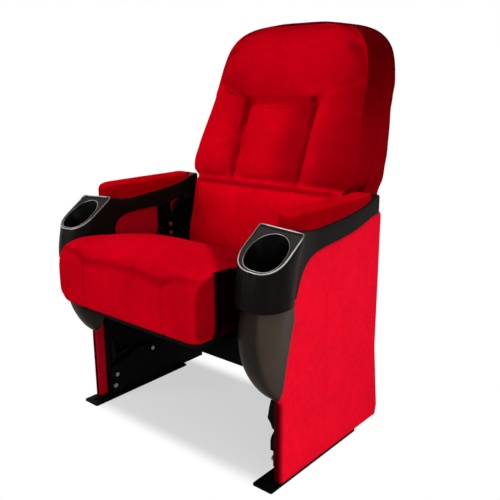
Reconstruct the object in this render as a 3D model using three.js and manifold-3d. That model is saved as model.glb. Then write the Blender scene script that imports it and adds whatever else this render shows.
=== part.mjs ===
// Tip up auditorium seat with cup holder arms, in millimetres.
// +Z is up and the seat faces -Y. Both sides are mirror images, so each side piece is
// worked out for +X and mirrored for the other side.
import * as THREE from 'three';
import { mergeVertices } from 'three/addons/utils/BufferGeometryUtils.js';
import Module from 'manifold-3d';

const wasm = await Module();
wasm.setup();

// Clearances and overruns shared by all pieces
const seatGap = 0.3;
const cutOverrun = 30;
const weldOverlap = 0.5;
const weldTolerance = 0.0005;
const roundSteps = 20;
const boltSteps = 12;
const filletSteps = 4;

// Main sizes that the other pieces follow
const backHalfWidth = 262;
const armLength = 338;
const cupRidgeY = -174;
const cupRidgeZ = 567;
const pivotZ = 385;

// Arm body: cup holder with a sloping top, and the rail behind it
const railRearY = cupRidgeY + armLength;
const ridgeAboveRail = 15;
const railTopZ = cupRidgeZ - ridgeAboveRail;
const railRise = 38;
const collarDepth = 149;
const collarLipZ = cupRidgeZ - collarDepth;
const railShares = [
  // along the rail, inner flare, outer flare, height above the low point
  { along: 0.0, inner: 0.8, outer: 0.62, rise: 0.4 },
  { along: 0.04, inner: 0.72, outer: 0.4, rise: 0.3 },
  { along: 0.098, inner: 0.54, outer: 0.2, rise: 0.17 },
  { along: 0.179, inner: 0.32, outer: 0.06, rise: 0.03 },
  { along: 0.256, inner: 0.15, outer: 0.0, rise: 0.0 },
  { along: 0.357, inner: 0.03, outer: 0.0, rise: 0.05 },
  { along: 0.444, inner: 0.0, outer: 0.0, rise: 0.1 },
  { along: 0.53, inner: 0.0, outer: 0.0, rise: 0.16 },
  { along: 0.622, inner: 0.0, outer: 0.0, rise: 0.26 },
  { along: 0.72, inner: 0.0, outer: 0.0, rise: 0.37 },
  { along: 0.821, inner: 0.0, outer: 0.0, rise: 0.55 },
  { along: 0.925, inner: 0.0, outer: 0.0, rise: 0.86 },
  { along: 1.0, inner: 0.0, outer: 0.0, rise: 1.0 },
];
const armWall = 3;
const armEdgeRadius = 5;
const armLowerRadius = 0.8;
const windowShares = [
  // the opening behind the collar: along the arm, then up from the collar's lip to the rail
  [0.0385, -0.07], [0.0385, 0.493], [0.0651, 0.612], [0.1124, 0.671], [0.1834, 0.709],
  [0.3373, 0.724], [0.5148, 0.731],
];

// Stands: distances from the middle of the seat and along the floor
const backToStand = 23;
const standInnerX = backHalfWidth + backToStand;
const standDepth = 22;
const standFrontReach = 4;
const standFrontY = cupRidgeY - standFrontReach;
const standRearReach = 14;
const standRearY = railRearY + standRearReach;
const standWall = 2.5;
const standFlange = 3;
const standTopAboveLip = 7;
const standTopZ = collarLipZ + standTopAboveLip;
const standRearShares = { low: 0.62, high: 0.9 };
const footThickness = 5;
const footWidth = 53;
const footTab = 35;
const footRearSetback = 79;
const footHoleRadius = 5.5;
const footHoleSetback = 17;
const postPlaceShare = 0.6154;
const postFrontY = cupRidgeY + armLength * postPlaceShare;
const postWidth = 32;
const postTopGap = 7;
const postTopZ = railTopZ - postTopGap;
const lugReach = 20;
const lugZ = 131;
const lugThickness = 4;
const lugSetback = 3;
const lugLength = 66;
const lugRearShare = 0.35;
const gussetBottomZ = 107;
const gussetHeight = 72;
const gussetShares = [
  // how far in from the stand, then how high
  [0.38, 0.04], [0.58, 0.18], [0.98, 0.32], [1, 0.38], [0.94, 0.46], [0.78, 0.74], [0.56, 0.98],
];

// Side panels
const panelThickness = 20;
const panelBelowRail = 4;
const panelTopZ = railTopZ - panelBelowRail;
const panelBevel = 6;
const panelOutlineShares = [
  // along the arm from the cup holder's ridge, then up the panel
  [-0.0917, 0.386], [-0.0772, 0.488], [-0.0471, 0.599], [-0.006, 0.702], [0.0326, 0.765],
  [0.0592, 0.821], [0.1062, 0.872], [0.204, 0.911], [0.3223, 0.926], [0.4551, 0.933],
  [0.6036, 0.944], [0.7219, 0.956], [0.8402, 0.976], [0.9585, 0.994], [1.0478, 1],
];
const panelRearShares = [[1.0478, 0.36], [1.1154, 0.044], [1.0949, 0]];
const panelBevelShares = [0, 0.45, 0.8, 1];
const panelInnerX = standInnerX + standDepth + seatGap;
const panelOuterX = panelInnerX + panelThickness;
const panelBottomZ = footThickness + seatGap;

// Cup holders and the width of the rails
const cupBeyondStand = 16;
const cupCentreX = standInnerX + cupBeyondStand;
const wellWall = 17.5;
const wellRadius = 41;
const cupHalfWidth = wellRadius + wellWall;
const cupReach = 100;
const cupSlope = 0.7;
const cupTilt = 0.06;
const cupTiltDepth = 60;
const cupTiltFade = 44;
const cupNoseLength = 52;
const cupNosePower = 2.5;
const collarSideReach = 42;
const collarSideY = cupRidgeY - collarSideReach;
const collarSwell = 13;
const railInnerReach = 13;
const railInnerX = standInnerX - railInnerReach;
const railOverPanel = 2.7;
const railOuterX = panelOuterX + railOverPanel;
const wellTaper = 6;
const wellFloorRadius = wellRadius - wellTaper;
const wellDepth = 137;
const wellFloorZ = cupRidgeZ - wellDepth;
const wellFrontMargin = 7;
const mouthShift = 2.5;
const mouthFlare = 5;
const mouthDepth = 45;
const mouthPower = 2.7;
const mouthShares = [
  // depth below the mouth, then how far it has opened out
  [1, 0], [0.3, 0.5], [0, 1],
];
const wellSetback = cupReach - wellRadius - wellFrontMargin;
const rimWidth = 4;
const rimHeight = 1.4;

// Lower cup shell: height, front and sides at each level
const shellHeight = 220;
const shellBottomZ = collarLipZ - shellHeight;
const shellWall = 3;
const shellInnerWidth = 49;
const shellOuterWidth = 52;
const shellInnerX = cupCentreX - shellInnerWidth;
const shellOuterX = cupCentreX + shellOuterWidth;
const shellLead = 8;
const shellFrontY = cupRidgeY - cupReach - shellLead;
const shellBackReach = 22;
const shellRearY = cupRidgeY + shellBackReach;
const shellTipReach = 25;
const shellTipY = standFrontY - shellTipReach;
const shellTipInnerWidth = 8;
const shellTipInnerX = cupCentreX - shellTipInnerWidth;
const shellTipOuterX = panelOuterX + armLowerRadius;
const shellNoseSteps = 14;
const shellTurnShare = 0.45;
const shellShares = [
  // height above the tip, then how far each side has drawn in to the tip
  { up: 1.0, front: 0.08, inner: 0.1, outer: 0.0 },
  { up: 0.86, front: 0.02, inner: 0.04, outer: 0.2 },
  { up: 0.7, front: 0.0, inner: 0.0, outer: 0.4 },
  { up: 0.54, front: 0.05, inner: 0.04, outer: 0.58 },
  { up: 0.4, front: 0.15, inner: 0.12, outer: 0.72 },
  { up: 0.26, front: 0.33, inner: 0.28, outer: 0.84 },
  { up: 0.13, front: 0.58, inner: 0.54, outer: 0.93 },
  { up: 0.04, front: 0.84, inner: 0.82, outer: 0.99 },
  { up: 0.0, front: 1.0, inner: 1.0, outer: 1.0 },
];

// Arm pads
const padHeight = 46;
const padTopZ = railTopZ + padHeight;
const padNoseWidthShare = 0.62;
const padFrontSetback = 19;
const padRearSetback = 15;
const padFrontY = cupRidgeY + padFrontSetback;
const padRearY = railRearY - padRearSetback;
const padSideSetback = 2;
const padInnerFlare = 6;
const padEdgeRadius = 15;
const padLowerRadius = 2;
const padEndShares = [
  { along: 0, full: 0.34 }, { along: 0.1, full: 0.6 }, { along: 0.4, full: 0.83 },
  { along: 1, full: 0.96 }, { along: 1.8, full: 1 },
];

// Backrest: its outline and depth at each level
const backBelowPivot = 13;
const backBottomZ = pivotZ - backBelowPivot;
const backHeight = 628;
const backTopZ = backBottomZ + backHeight;
const lumbarSetback = 19;
const lumbarHalfWidth = backHalfWidth - lumbarSetback;
const backBehindPost = 46;
const backFrontY = postFrontY + backBehindPost;
const backLean = 220;
const backDepth = 149;
const backCushionDepth = 78;
const channelX = 111;
const channelDepth = 15;
const channelWidth = 15;
const lumbarSeamShare = 0.3455;
const headSeamShare = 0.6863;
const lumbarSeamZ = backBottomZ + backHeight * lumbarSeamShare;
const headSeamZ = backBottomZ + backHeight * headSeamShare;
const headSeamRise = 32;
const backCrown = 14;
const backEdgeRoll = 7.2;
const backEdgeDepth = 22;
const backShares = [
  // height, front along the lean, half width, rear depth
  { up: 0.0, front: 0.1, wide: 0.955, deep: 0.94 },
  { up: 0.018, front: 0.05, wide: 0.985, deep: 1.04 },
  { up: 0.05, front: 0.035, wide: 1.0, deep: 1.1 },
  { up: 0.11, front: 0.05, wide: 1.0, deep: 1.13 },
  { up: 0.17, front: 0.095, wide: 1.0, deep: 1.11 },
  { up: 0.24, front: 0.145, wide: 1.0, deep: 1.09 },
  { up: 0.3, front: 0.18, wide: 1.0, deep: 1.08 },
  { up: 0.33, front: 0.205, wide: 1.0, deep: 1.07 },
  { up: 0.346, front: 0.245, wide: 1.0, deep: 1.02 },
  { up: 0.362, front: 0.262, wide: 1.0, deep: 1.01 },
  { up: 0.41, front: 0.29, wide: 1.0, deep: 1.0 },
  { up: 0.47, front: 0.36, wide: 1.0, deep: 1.0 },
  { up: 0.53, front: 0.425, wide: 0.988, deep: 1.0 },
  { up: 0.59, front: 0.49, wide: 0.972, deep: 1.0 },
  { up: 0.65, front: 0.555, wide: 0.956, deep: 1.0 },
  { up: 0.67, front: 0.58, wide: 0.95, deep: 1.0 },
  { up: 0.686, front: 0.6, wide: 0.947, deep: 1.0 },
  { up: 0.702, front: 0.61, wide: 0.944, deep: 1.0 },
  { up: 0.74, front: 0.655, wide: 0.936, deep: 1.0 },
  { up: 0.79, front: 0.7, wide: 0.918, deep: 0.98 },
  { up: 0.84, front: 0.74, wide: 0.89, deep: 0.96 },
  { up: 0.89, front: 0.78, wide: 0.845, deep: 0.92 },
  { up: 0.935, front: 0.825, wide: 0.76, deep: 0.84 },
  { up: 0.965, front: 0.87, wide: 0.65, deep: 0.74 },
  { up: 0.985, front: 0.92, wide: 0.5, deep: 0.64 },
  { up: 1.0, front: 1.0, wide: 0.26, deep: 0.46 },
];
const shellCornerRadius = 16;
const boardThickness = 9;
const boardInset = 26;
const boardCorner = 0.5;
const coverInset = 22;
const coverThickness = 4;
const coverCrown = 5;
const coverCorner = 9;

// Rear closing panel between the stands
const rearPanelDepth = 12;
const rearPanelBottomZ = 15;
const rearPanelBelowBack = 20;
const rearPanelTopZ = backBottomZ - rearPanelBelowBack;
const rearPanelWall = 2;
const rearRibCount = 3;
const rearRibWidth = 6;

// Seat cushion, given as its side profile
const seatBesideStand = 56;
const seatHalfWidth = standInnerX - seatBesideStand;
const seatLead = 184;
const seatFrontY = cupRidgeY - seatLead;
const seatToBack = 20;
const seatRearY = backFrontY - seatToBack;
const seatBelowPivot = 48.8;
const seatBottomZ = pivotZ - seatBelowPivot;
const seatHeight = 164;
const seatSideDrop = 9;
const seatSeamX = 130;
const seatSeamDepth = 5;
const seatProfileShares = [
  // from the front along the depth, then up the height: bottom, front, top, rear
  [0.07, 0.0], [0.03, 0.008], [0.009, 0.06], [0.002, 0.2], [0.0, 0.36], [0.001, 0.54],
  [0.006, 0.68], [0.012, 0.74], [0.026, 0.83], [0.057, 0.92], [0.11, 0.965],
  [0.19, 0.992], [0.29, 1.0], [0.4, 0.97], [0.526, 0.908], [0.653, 0.81], [0.787, 0.69],
  [0.9, 0.58], [0.965, 0.5], [0.996, 0.38], [1.0, 0.2], [0.99, 0.05], [0.96, 0.0],
];
const seatSideShares = [
  // across the half width, how far the profile draws in towards its middle
  { across: 0.0, draw: 0.0, seam: 0 },
  { across: 0.3, draw: 0.0, seam: 0 },
  { across: 0.54, draw: 0.004, seam: 0 },
  { across: 0.5677, draw: 0.006, seam: 1 },
  { across: 0.596, draw: 0.006, seam: 0 },
  { across: 0.76, draw: 0.012, seam: 0 },
  { across: 0.89, draw: 0.016, seam: 0 },
  { across: 0.955, draw: 0.03, seam: 0 },
  { across: 0.99, draw: 0.06, seam: 0 },
  { across: 1.0, draw: 0.11, seam: 0 },
];

// Seat pan and tipping gear
const panThickness = 12;
const panSideSetback = 15;
const panHalfWidth = seatHalfWidth - panSideSetback;
const panFrontSetback = 32;
const panRearSetback = 8;
const panCornerRadius = 30;
const pivotToSeatRear = 125;
const pivotY = seatRearY - pivotToSeatRear;
const seatArmBesideStand = 49;
const seatArmX = standInnerX - seatArmBesideStand;
const seatArmThickness = 5;
const seatArmFront = 70;
const seatArmRear = 35;
const seatArmFootReach = 36;
const seatArmFootX = seatArmX - seatArmFootReach;
const hubRadius = 19;
const hubLength = 16;
const bushWall = 3.6;
const pinRadius = 9;
const runningGap = 0.3;
const housingRadius = 28;
const housingNoseRadius = 21;
const housingBaseLength = 7;
const housingLength = 26;
const housingFillet = 2;
const stopCircle = 50;
const stopPegAngle = -75;
const stopPegRadius = 6;
const stopPegLength = 14;
const bufferRadius = 8;
const bufferLength = 30;
const bufferChamfer = 2;
const bufferBoltRadius = 4;
const tipTravel = 72;
const springArm = 60;
const springArmAngle = 36;
const springPegRadius = 4;
const springBesideStand = 23;
const springX = standInnerX - springBesideStand;
const panScrewFront = 50;
const panScrewRear = 22;
const panScrewSetback = 20;
const panScrewX = seatArmX - panScrewSetback;
const screwHeadRadius = 5.5;
const screwHeadHeight = 3.5;
const screwHeadShares = [[0, 1], [0.7, 0.85], [1, 0.3], [1, 0]];

// Return springs
const springRadius = 9.5;
const springWireRadius = 1.7;
const springTurns = 14;
const springStepsPerTurn = 8;
const springWireSides = 5;
const springEndLength = 30;
const springTurnIn = 12;
const anchorBelowPivot = 195;
const anchorY = pivotY + springArm * Math.cos(THREE.MathUtils.degToRad(springArmAngle));
const anchorZ = pivotZ - anchorBelowPivot;
const anchorRadius = 6;
const anchorHeadRadius = 9;
const anchorHeadLength = 4;
const anchorFillet = 2;

// Curved braces low on the stands, and their bolts
const braceThickness = 3;
const braceFlangeReach = 11;
const braceSetback = 2;
const braceFrontY = standFrontY + braceSetback;
const braceLength = 160;
const braceBottomZ = 18;
const braceHeight = 104;
const braceTopShares = [
  [0.0, 0.36], [0.0, 0.6], [0.02, 0.67], [0.07, 0.745], [0.15, 0.8], [0.27, 0.835], [0.34, 0.88],
  [0.4, 0.95], [0.5, 0.99], [0.64, 1.0], [0.8, 0.985], [0.93, 0.93], [0.995, 0.8],
];
const braceBottomShares = [
  [1.0, 0.66], [0.93, 0.54], [0.75, 0.52], [0.45, 0.5], [0.3, 0.4], [0.21, 0.2], [0.2, 0.0],
  [0.0, 0.0],
];
const braceBoltShares = { lower: [0.036, 0.159], upper: [0.078, 0.46], rear: [0.9, 0.8] };
const boltRadius = 4;
const boltHeadRadius = 6.5;
const boltHeadLength = 5;

// Back brackets between the posts and the backrest
const bracketThickness = 4.7;
const bracketInnerX = backHalfWidth + seatGap * 2;
const bracketSetback = 10;
const bracketFrontY = postFrontY + bracketSetback;
const bracketLength = 162;
const bracketBelowStandTop = 41;
const bracketBottomZ = standTopZ - bracketBelowStandTop;
const bracketHeight = 134;
const bracketStepShare = 0.321;
const bracketOutlineShares = [
  [0, 0.209], [0, 0.582], [0.123, 0.604], [0.259, 1], [1, 1], [0.901, 0.119], [0.716, 0],
  [0.284, 0.09],
];
const postBoltShares = { lower: [0.068, 0.343], upper: [0.068, 0.53] };
const backBoltShares = { lower: [0.815, 0.269], upper: [0.938, 0.836] };

// Plain finishes
const finishes = {
  redFabric: { color: 0xc00018, roughness: 0.95, metalness: 0 },
  padFabric: { color: 0xa80014, roughness: 0.95, metalness: 0 },
  blackPlastic: { color: 0x141414, roughness: 0.42, metalness: 0 },
  brownPlastic: { color: 0x1d1815, roughness: 0.5, metalness: 0 },
  blackSteel: { color: 0x101010, roughness: 0.45, metalness: 0.3 },
  zincSteel: { color: 0x9a9a94, roughness: 0.35, metalness: 0.9 },
  rubber: { color: 0x1b1b1b, roughness: 0.9, metalness: 0 },
  nylon: { color: 0xd8d5cc, roughness: 0.6, metalness: 0 },
  board: { color: 0x9a7447, roughness: 0.8, metalness: 0 },
};

// Solids and outlines
function outward(geometry) {
  const place = geometry.attributes.position;
  const index = geometry.index.array;
  const [a, b, c] = [new THREE.Vector3(), new THREE.Vector3(), new THREE.Vector3()];
  let volume = 0;
  for (let i = 0; i < index.length; i += 3) {
    a.fromBufferAttribute(place, index[i]);
    b.fromBufferAttribute(place, index[i + 1]);
    c.fromBufferAttribute(place, index[i + 2]);
    volume += a.dot(b.cross(c));
  }
  if (volume < 0) {
    for (let i = 0; i < index.length; i += 3) {
      [index[i], index[i + 1]] = [index[i + 1], index[i]];
    }
  }
  return geometry;
}

function welded(geometry) {
  const bare = geometry.clone();
  for (const name of Object.keys(bare.attributes)) {
    if (name !== 'position') bare.deleteAttribute(name);
  }
  const merged = mergeVertices(bare, weldTolerance);
  const corners = merged.index.array;
  const kept = [];
  for (let i = 0; i < corners.length; i += 3) {
    const [a, b, c] = [corners[i], corners[i + 1], corners[i + 2]];
    if (a !== b && b !== c && c !== a) kept.push(a, b, c);
  }
  merged.setIndex(kept);
  return outward(merged);
}

function solid(geometry) {
  const closed = welded(geometry);
  const vertProperties = new Float32Array(closed.attributes.position.array);
  const triVerts = new Uint32Array(closed.index.array);
  return new wasm.Manifold(new wasm.Mesh({ numProp: 3, vertProperties, triVerts }));
}

function geometryOf(body) {
  const { vertProperties, triVerts } = body.getMesh();
  const geometry = new THREE.BufferGeometry();
  geometry.setAttribute('position', new THREE.BufferAttribute(new Float32Array(vertProperties), 3));
  geometry.setIndex(new THREE.BufferAttribute(new Uint32Array(triVerts), 1));
  return geometry;
}

function joined(...bodies) {
  return bodies.reduce((whole, body) => whole.add(body));
}

// A prism of a closed outline along X (outline in Y, Z), Y (outline in Z, X) or Z (outline in X, Y)
function prism(outline, axis, from, to) {
  const points = outline.map((point) => (point.isVector2 ? point : new THREE.Vector2(point[0], point[1])));
  const geometry = new THREE.ExtrudeGeometry(new THREE.Shape(points), {
    depth: to - from,
    bevelEnabled: false,
    steps: 1,
  });
  geometry.translate(0, 0, from);
  const turn = new THREE.Matrix4();
  if (axis === 'x') turn.set(0, 0, 1, 0, 1, 0, 0, 0, 0, 1, 0, 0, 0, 0, 0, 1);
  if (axis === 'y') turn.set(0, 1, 0, 0, 0, 0, 1, 0, 1, 0, 0, 0, 0, 0, 0, 1);
  geometry.applyMatrix4(turn);
  return solid(geometry);
}

function box(x0, x1, y0, y1, z0, z1) {
  const geometry = new THREE.BoxGeometry(x1 - x0, y1 - y0, z1 - z0);
  geometry.translate((x0 + x1) / 2, (y0 + y1) / 2, (z0 + z1) / 2);
  return solid(geometry);
}

// A round bar along X from one distance to another
function barX(radius, x0, x1, y, z, sides = roundSteps) {
  const geometry = new THREE.CylinderGeometry(radius, radius, x1 - x0, sides);
  geometry.rotateZ(Math.PI / 2);
  geometry.translate((x0 + x1) / 2, y, z);
  return solid(geometry);
}

// A revolved profile of [radius, distance] pairs about an axis along X
function turnedX(profile, y, z) {
  const points = profile.map(([radius, along]) => new THREE.Vector2(radius, along));
  const geometry = new THREE.LatheGeometry(points, roundSteps);
  geometry.rotateZ(-Math.PI / 2);
  geometry.translate(0, y, z);
  return solid(geometry);
}

// Rounds the corners of an outline; each corner is [a, b, radius]
function rounded(corners) {
  const points = [];
  corners.forEach(([a, b, radius = 0], index) => {
    const here = new THREE.Vector2(a, b);
    if (radius === 0) {
      points.push(here);
      return;
    }
    const last = corners[(index + corners.length - 1) % corners.length];
    const next = corners[(index + 1) % corners.length];
    const towards = [last, next].map((other) => new THREE.Vector2(other[0] - a, other[1] - b));
    const reach = Math.min(radius, towards[0].length() / 2, towards[1].length() / 2);
    const [start, end] = towards.map((way) => here.clone().addScaledVector(way.clone().normalize(), reach));
    points.push(...new THREE.QuadraticBezierCurve(start, here, end).getPoints(filletSteps));
  });
  return points;
}

// Moves every edge of a closed outline to its left by a distance
function offset(outline, distance) {
  const points = outline.map((point) => (point.isVector2 ? point : new THREE.Vector2(point[0], point[1])));
  return points.map((here, index) => {
    const last = points[(index + points.length - 1) % points.length];
    const next = points[(index + 1) % points.length];
    const into = here.clone().sub(last).normalize();
    const out = next.clone().sub(here).normalize();
    const normal = new THREE.Vector2(-into.y - out.y, into.x + out.x).normalize();
    const spread = Math.max(normal.x * -into.y + normal.y * into.x, 0.35);
    return here.clone().addScaledVector(normal, distance / spread);
  });
}

// Moves every edge of a list of corners inwards; the corners keep what is left of their radii
function drawnIn(corners, distance) {
  return offset(corners, distance).map((point, index) => {
    const radius = corners[index][2];
    return [point.x, point.y, Math.max(radius - distance, 0)];
  });
}

// Skins a row of rings of equal count and closes both ends with a fan
function loft(rings, endCentres = []) {
  const count = rings[0].length;
  const places = rings.flat();
  const ends = [rings[0], rings[rings.length - 1]].map((ring, end) => {
    const middle = ring.reduce((sum, point) => sum.add(point), new THREE.Vector3());
    return endCentres[end] ?? middle.divideScalar(count);
  });
  const index = [];
  for (let ring = 0; ring < rings.length - 1; ring += 1) {
    for (let step = 0; step < count; step += 1) {
      const a = ring * count + step;
      const b = ring * count + ((step + 1) % count);
      const rising = places[a].distanceToSquared(places[b + count]);
      if (rising < places[b].distanceToSquared(places[a + count])) {
        index.push(a, b, b + count, a, b + count, a + count);
      } else {
        index.push(a, b, a + count, b, b + count, a + count);
      }
    }
  }
  const lastRing = (rings.length - 1) * count;
  for (let step = 0; step < count; step += 1) {
    const next = (step + 1) % count;
    index.push(places.length, next, step);
    index.push(places.length + 1, lastRing + step, lastRing + next);
  }
  const geometry = new THREE.BufferGeometry();
  geometry.setFromPoints([...places, ...ends]);
  geometry.setIndex(index);
  return welded(geometry);
}

// A ring in the X, Z plane: a rectangle with rounded corners whose outer side may lean inwards
function sectionRing(y, x0, x1, z0, z1, topRadius, bottomRadius, steps, lean = 0) {
  const ring = [];
  const corners = [
    [x1, z0, bottomRadius, -Math.PI / 2],
    [x1, z1, topRadius, 0],
    [x0, z1, topRadius, Math.PI / 2],
    [x0, z0, bottomRadius, Math.PI],
  ];
  for (const [x, z, wanted, start] of corners) {
    const radius = Math.min(wanted, (x1 - x0) * 0.48, (z1 - z0) * 0.48);
    const centreX = x + (x === x1 ? -radius : radius);
    const centreZ = z + (z === z1 ? -radius : radius);
    for (let step = 0; step <= steps; step += 1) {
      const angle = start + (step / steps) * (Math.PI / 2);
      const [pointX, pointZ] = [centreX + radius * Math.cos(angle), centreZ + radius * Math.sin(angle)];
      const leaning = x === x1 ? lean * ((z1 - pointZ) / (z1 - z0)) : 0;
      ring.push(new THREE.Vector3(pointX - leaning, y, pointZ));
    }
  }
  return ring;
}

function mix(a, b, share) {
  return a + (b - a) * share;
}

// Reads one column of a table of shares at a place along another column
function follow(table, along, column, place) {
  let row = 0;
  while (row < table.length - 2 && table[row + 1][along] < place) row += 1;
  const [low, high] = [table[row], table[row + 1]];
  const share = (place - low[along]) / (high[along] - low[along]);
  return mix(low[column], high[column], THREE.MathUtils.clamp(share, 0, 1));
}

// The panel's front and top edge, which the arm body and the cup shell also follow
function panelPlace([alongShare, upShare]) {
  return new THREE.Vector2(cupRidgeY + armLength * alongShare, mix(panelBottomZ, panelTopZ, upShare));
}

function panelEdge() {
  return panelOutlineShares.map(panelPlace);
}

function panelOutline() {
  const front = panelPlace([panelOutlineShares[0][0], 0]);
  return [front, ...panelRearShares.map(panelPlace).reverse(), ...panelEdge().reverse()];
}

// Everything behind and below the panel's edge, moved away from it by a distance
function behindPanelEdge(distance) {
  const edge = panelEdge();
  const rearY = edge[edge.length - 1].x + cutOverrun;
  const closing = [
    new THREE.Vector2(rearY, panelTopZ), new THREE.Vector2(rearY, 0), new THREE.Vector2(edge[0].x, 0),
  ];
  const outline = offset([...edge, ...closing], distance);
  return prism(outline.reverse(), 'x', 0, cupCentreX + cupHalfWidth + cutOverrun);
}

// Foot plate: a flat bar with a bolt hole in its front tab and one between the leg's flanges
function footPlate() {
  const x1 = panelOuterX;
  const x0 = x1 - footWidth;
  const frontY = panelEdge()[0].x - footTab;
  const rearY = standRearY - footRearSetback;
  const corner = footThickness;
  const outline = rounded([
    [x0, frontY, corner], [x1, frontY, corner], [x1, rearY, corner], [x0, rearY, corner],
  ]);
  const centreX = (x0 + x1) / 2;
  const holes = [frontY + footHoleSetback, rearY - footHoleSetback].map((y) => {
    const height = footThickness * 3;
    const geometry = new THREE.CylinderGeometry(footHoleRadius, footHoleRadius, height, roundSteps);
    geometry.rotateX(Math.PI / 2);
    geometry.translate(centreX, y, footThickness / 2);
    return solid(geometry);
  });
  return joined(prism(outline, 'z', 0, footThickness)).subtract(joined(...holes));
}

// Welded lug low on the stand: a tapered shelf with a gusset across its front end
function standLug() {
  const [frontY, rearY] = [standFrontY + lugSetback, standFrontY + lugSetback + lugLength];
  const [rootX, innerX] = [standInnerX + weldOverlap, standInnerX - lugReach];
  const plan = [
    [rootX, frontY], [rootX, rearY], [standInnerX - lugReach * lugRearShare, rearY],
    [innerX, mix(frontY, rearY, lugRearShare)], [innerX, frontY],
  ];
  const shelf = prism(plan, 'z', lugZ - lugThickness / 2, lugZ + lugThickness / 2);
  const edge = gussetShares.map(([inward, up]) => [
    gussetBottomZ + gussetHeight * up, standInnerX - lugReach * inward,
  ]);
  const side = [[gussetBottomZ, rootX], ...edge, [gussetBottomZ + gussetHeight, rootX]];
  return shelf.add(prism(side, 'y', frontY, frontY + lugThickness));
}

// Stand frame: a pressed tray with its web inside, its flanges outwards, a post and a lug
function standFrame() {
  const bottomZ = footThickness + seatGap;
  const postRearY = postFrontY + postWidth;
  const shoulder = standFlange * 8;
  const corners = [
    [standFrontY, bottomZ, 0], [standRearY, bottomZ, 0],
    [standRearY, standTopZ * standRearShares.low, shoulder],
    [postRearY, standTopZ * standRearShares.high, shoulder], [postRearY, postTopZ, standFlange],
    [postFrontY, postTopZ, standFlange], [postFrontY, standTopZ, shoulder],
    [standFrontY, standTopZ, shoulder],
  ];
  const outer = prism(rounded(corners), 'x', standInnerX, standInnerX + standDepth);
  const pocket = prism(
    rounded(drawnIn(corners, standFlange)), 'x', standInnerX + standWall,
    standInnerX + standDepth + cutOverrun,
  );
  const holeReach = standWall * 2;
  const places = [
    ...Object.values(braceBoltShares).map(bracePlace), ...Object.values(postBoltShares).map(bracketPlace),
    new THREE.Vector2(anchorY, anchorZ),
  ];
  const holes = places.map(({ x: y, y: z }) => barX(
    boltRadius + seatGap, standInnerX - holeReach, standInnerX + holeReach, y, z, boltSteps,
  ));
  return outer.subtract(pocket).add(standLug()).subtract(joined(...holes));
}

// Side panel: an upholstered board whose outer edges are rolled over
function sidePanel() {
  const outline = panelOutline();
  const core = prism(outline, 'x', panelInnerX, panelOuterX - panelBevel);
  const rings = panelBevelShares.map((share) => {
    const drawn = offset(outline, panelBevel * (1 - Math.sqrt(1 - share * share)));
    const x = panelOuterX - panelBevel + panelBevel * share;
    return { drawn, x };
  });
  const rolled = rings.slice(1).map(({ drawn, x }, index) => {
    const below = rings[index];
    return prism(below.drawn, 'x', below.x - weldOverlap, x);
  });
  return joined(core, ...rolled);
}

// Arm body: the half width of the cup holder's rounded nose at a place along Y
function noseShare(y) {
  const noseStartY = cupRidgeY - cupReach + cupNoseLength;
  if (y >= noseStartY) return 1;
  const into = Math.min((noseStartY - y) / cupNoseLength, 1);
  return (1 - into ** cupNosePower) ** (1 / cupNosePower);
}

function armTopZ(y) {
  if (y < cupRidgeY) return cupRidgeZ + cupSlope * (y - cupRidgeY);
  const along = (y - cupRidgeY) / (railRearY - cupRidgeY);
  return railTopZ + railRise * follow(railShares, 'along', 'rise', along);
}

function armSides(y) {
  const [cupIn, cupOut] = [cupCentreX - cupHalfWidth, cupCentreX + cupHalfWidth];
  if (y < cupRidgeY) {
    const shoulder = THREE.MathUtils.clamp((cupRidgeY - y) / (armEdgeRadius * 2), 0, 1);
    const full = Math.sqrt(1 - (1 - shoulder) ** 2);
    const first = railShares[0];
    const halfIn = mix(cupCentreX - mix(railInnerX, cupIn, first.inner), cupHalfWidth, full);
    const halfOut = mix(mix(railOuterX, cupOut, first.outer) - cupCentreX, cupHalfWidth, full);
    const nose = noseShare(y);
    return [cupCentreX - halfIn * nose, cupCentreX + halfOut * nose];
  }
  const along = (y - cupRidgeY) / (railRearY - cupRidgeY);
  const inner = follow(railShares, 'along', 'inner', along);
  const outer = follow(railShares, 'along', 'outer', along);
  return [mix(railInnerX, cupIn, inner), mix(railOuterX, cupOut, outer)];
}

// How far the arm's outer side leans in to the panel between its top and the collar's lip
function armLean(y, topZ, bottomZ) {
  const along = THREE.MathUtils.clamp((y - collarSideY) / (cupRidgeY - collarSideY), 0, 1);
  const wanted = (armSides(y)[1] - panelOuterX - armWall) * along ** 1.5;
  return Math.max(wanted, 0) * ((topZ - bottomZ) / (topZ - collarLipZ));
}

function armStations(setback) {
  const frontY = cupRidgeY - cupReach + setback;
  const noseLength = cupNoseLength - setback;
  const nose = [0.02, 0.1, 0.24, 0.44, 0.7, 1].map((share) => frontY + noseLength * share);
  const shoulders = [6, 4, 2, 1, 0.4].map((count) => cupRidgeY - armEdgeRadius * count);
  const rail = railShares.map(({ along }) => mix(cupRidgeY, railRearY - setback, along));
  return [...nose, ...shoulders, ...rail];
}

// The loft of the arm body, drawn in on every side by a wall
function armLoft(wall, steps) {
  const rings = armStations(wall).map((y) => {
    const outerY = wall === 0 ? y : Math.max(y - wall, cupRidgeY - cupReach + wall * 0.4);
    const [x0, x1] = armSides(y < cupRidgeY ? outerY : y);
    const radius = Math.max(armEdgeRadius - wall, armLowerRadius);
    const bottomZ = wall === 0 ? collarLipZ : collarLipZ - cutOverrun;
    const topZ = armTopZ(y) - wall * 1.3;
    const lean = armLean(y, topZ, bottomZ);
    return sectionRing(
      y, x0 + wall, x1 - wall, bottomZ, topZ, radius, armLowerRadius, steps, lean,
    );
  });
  return solid(loft(rings));
}

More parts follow.
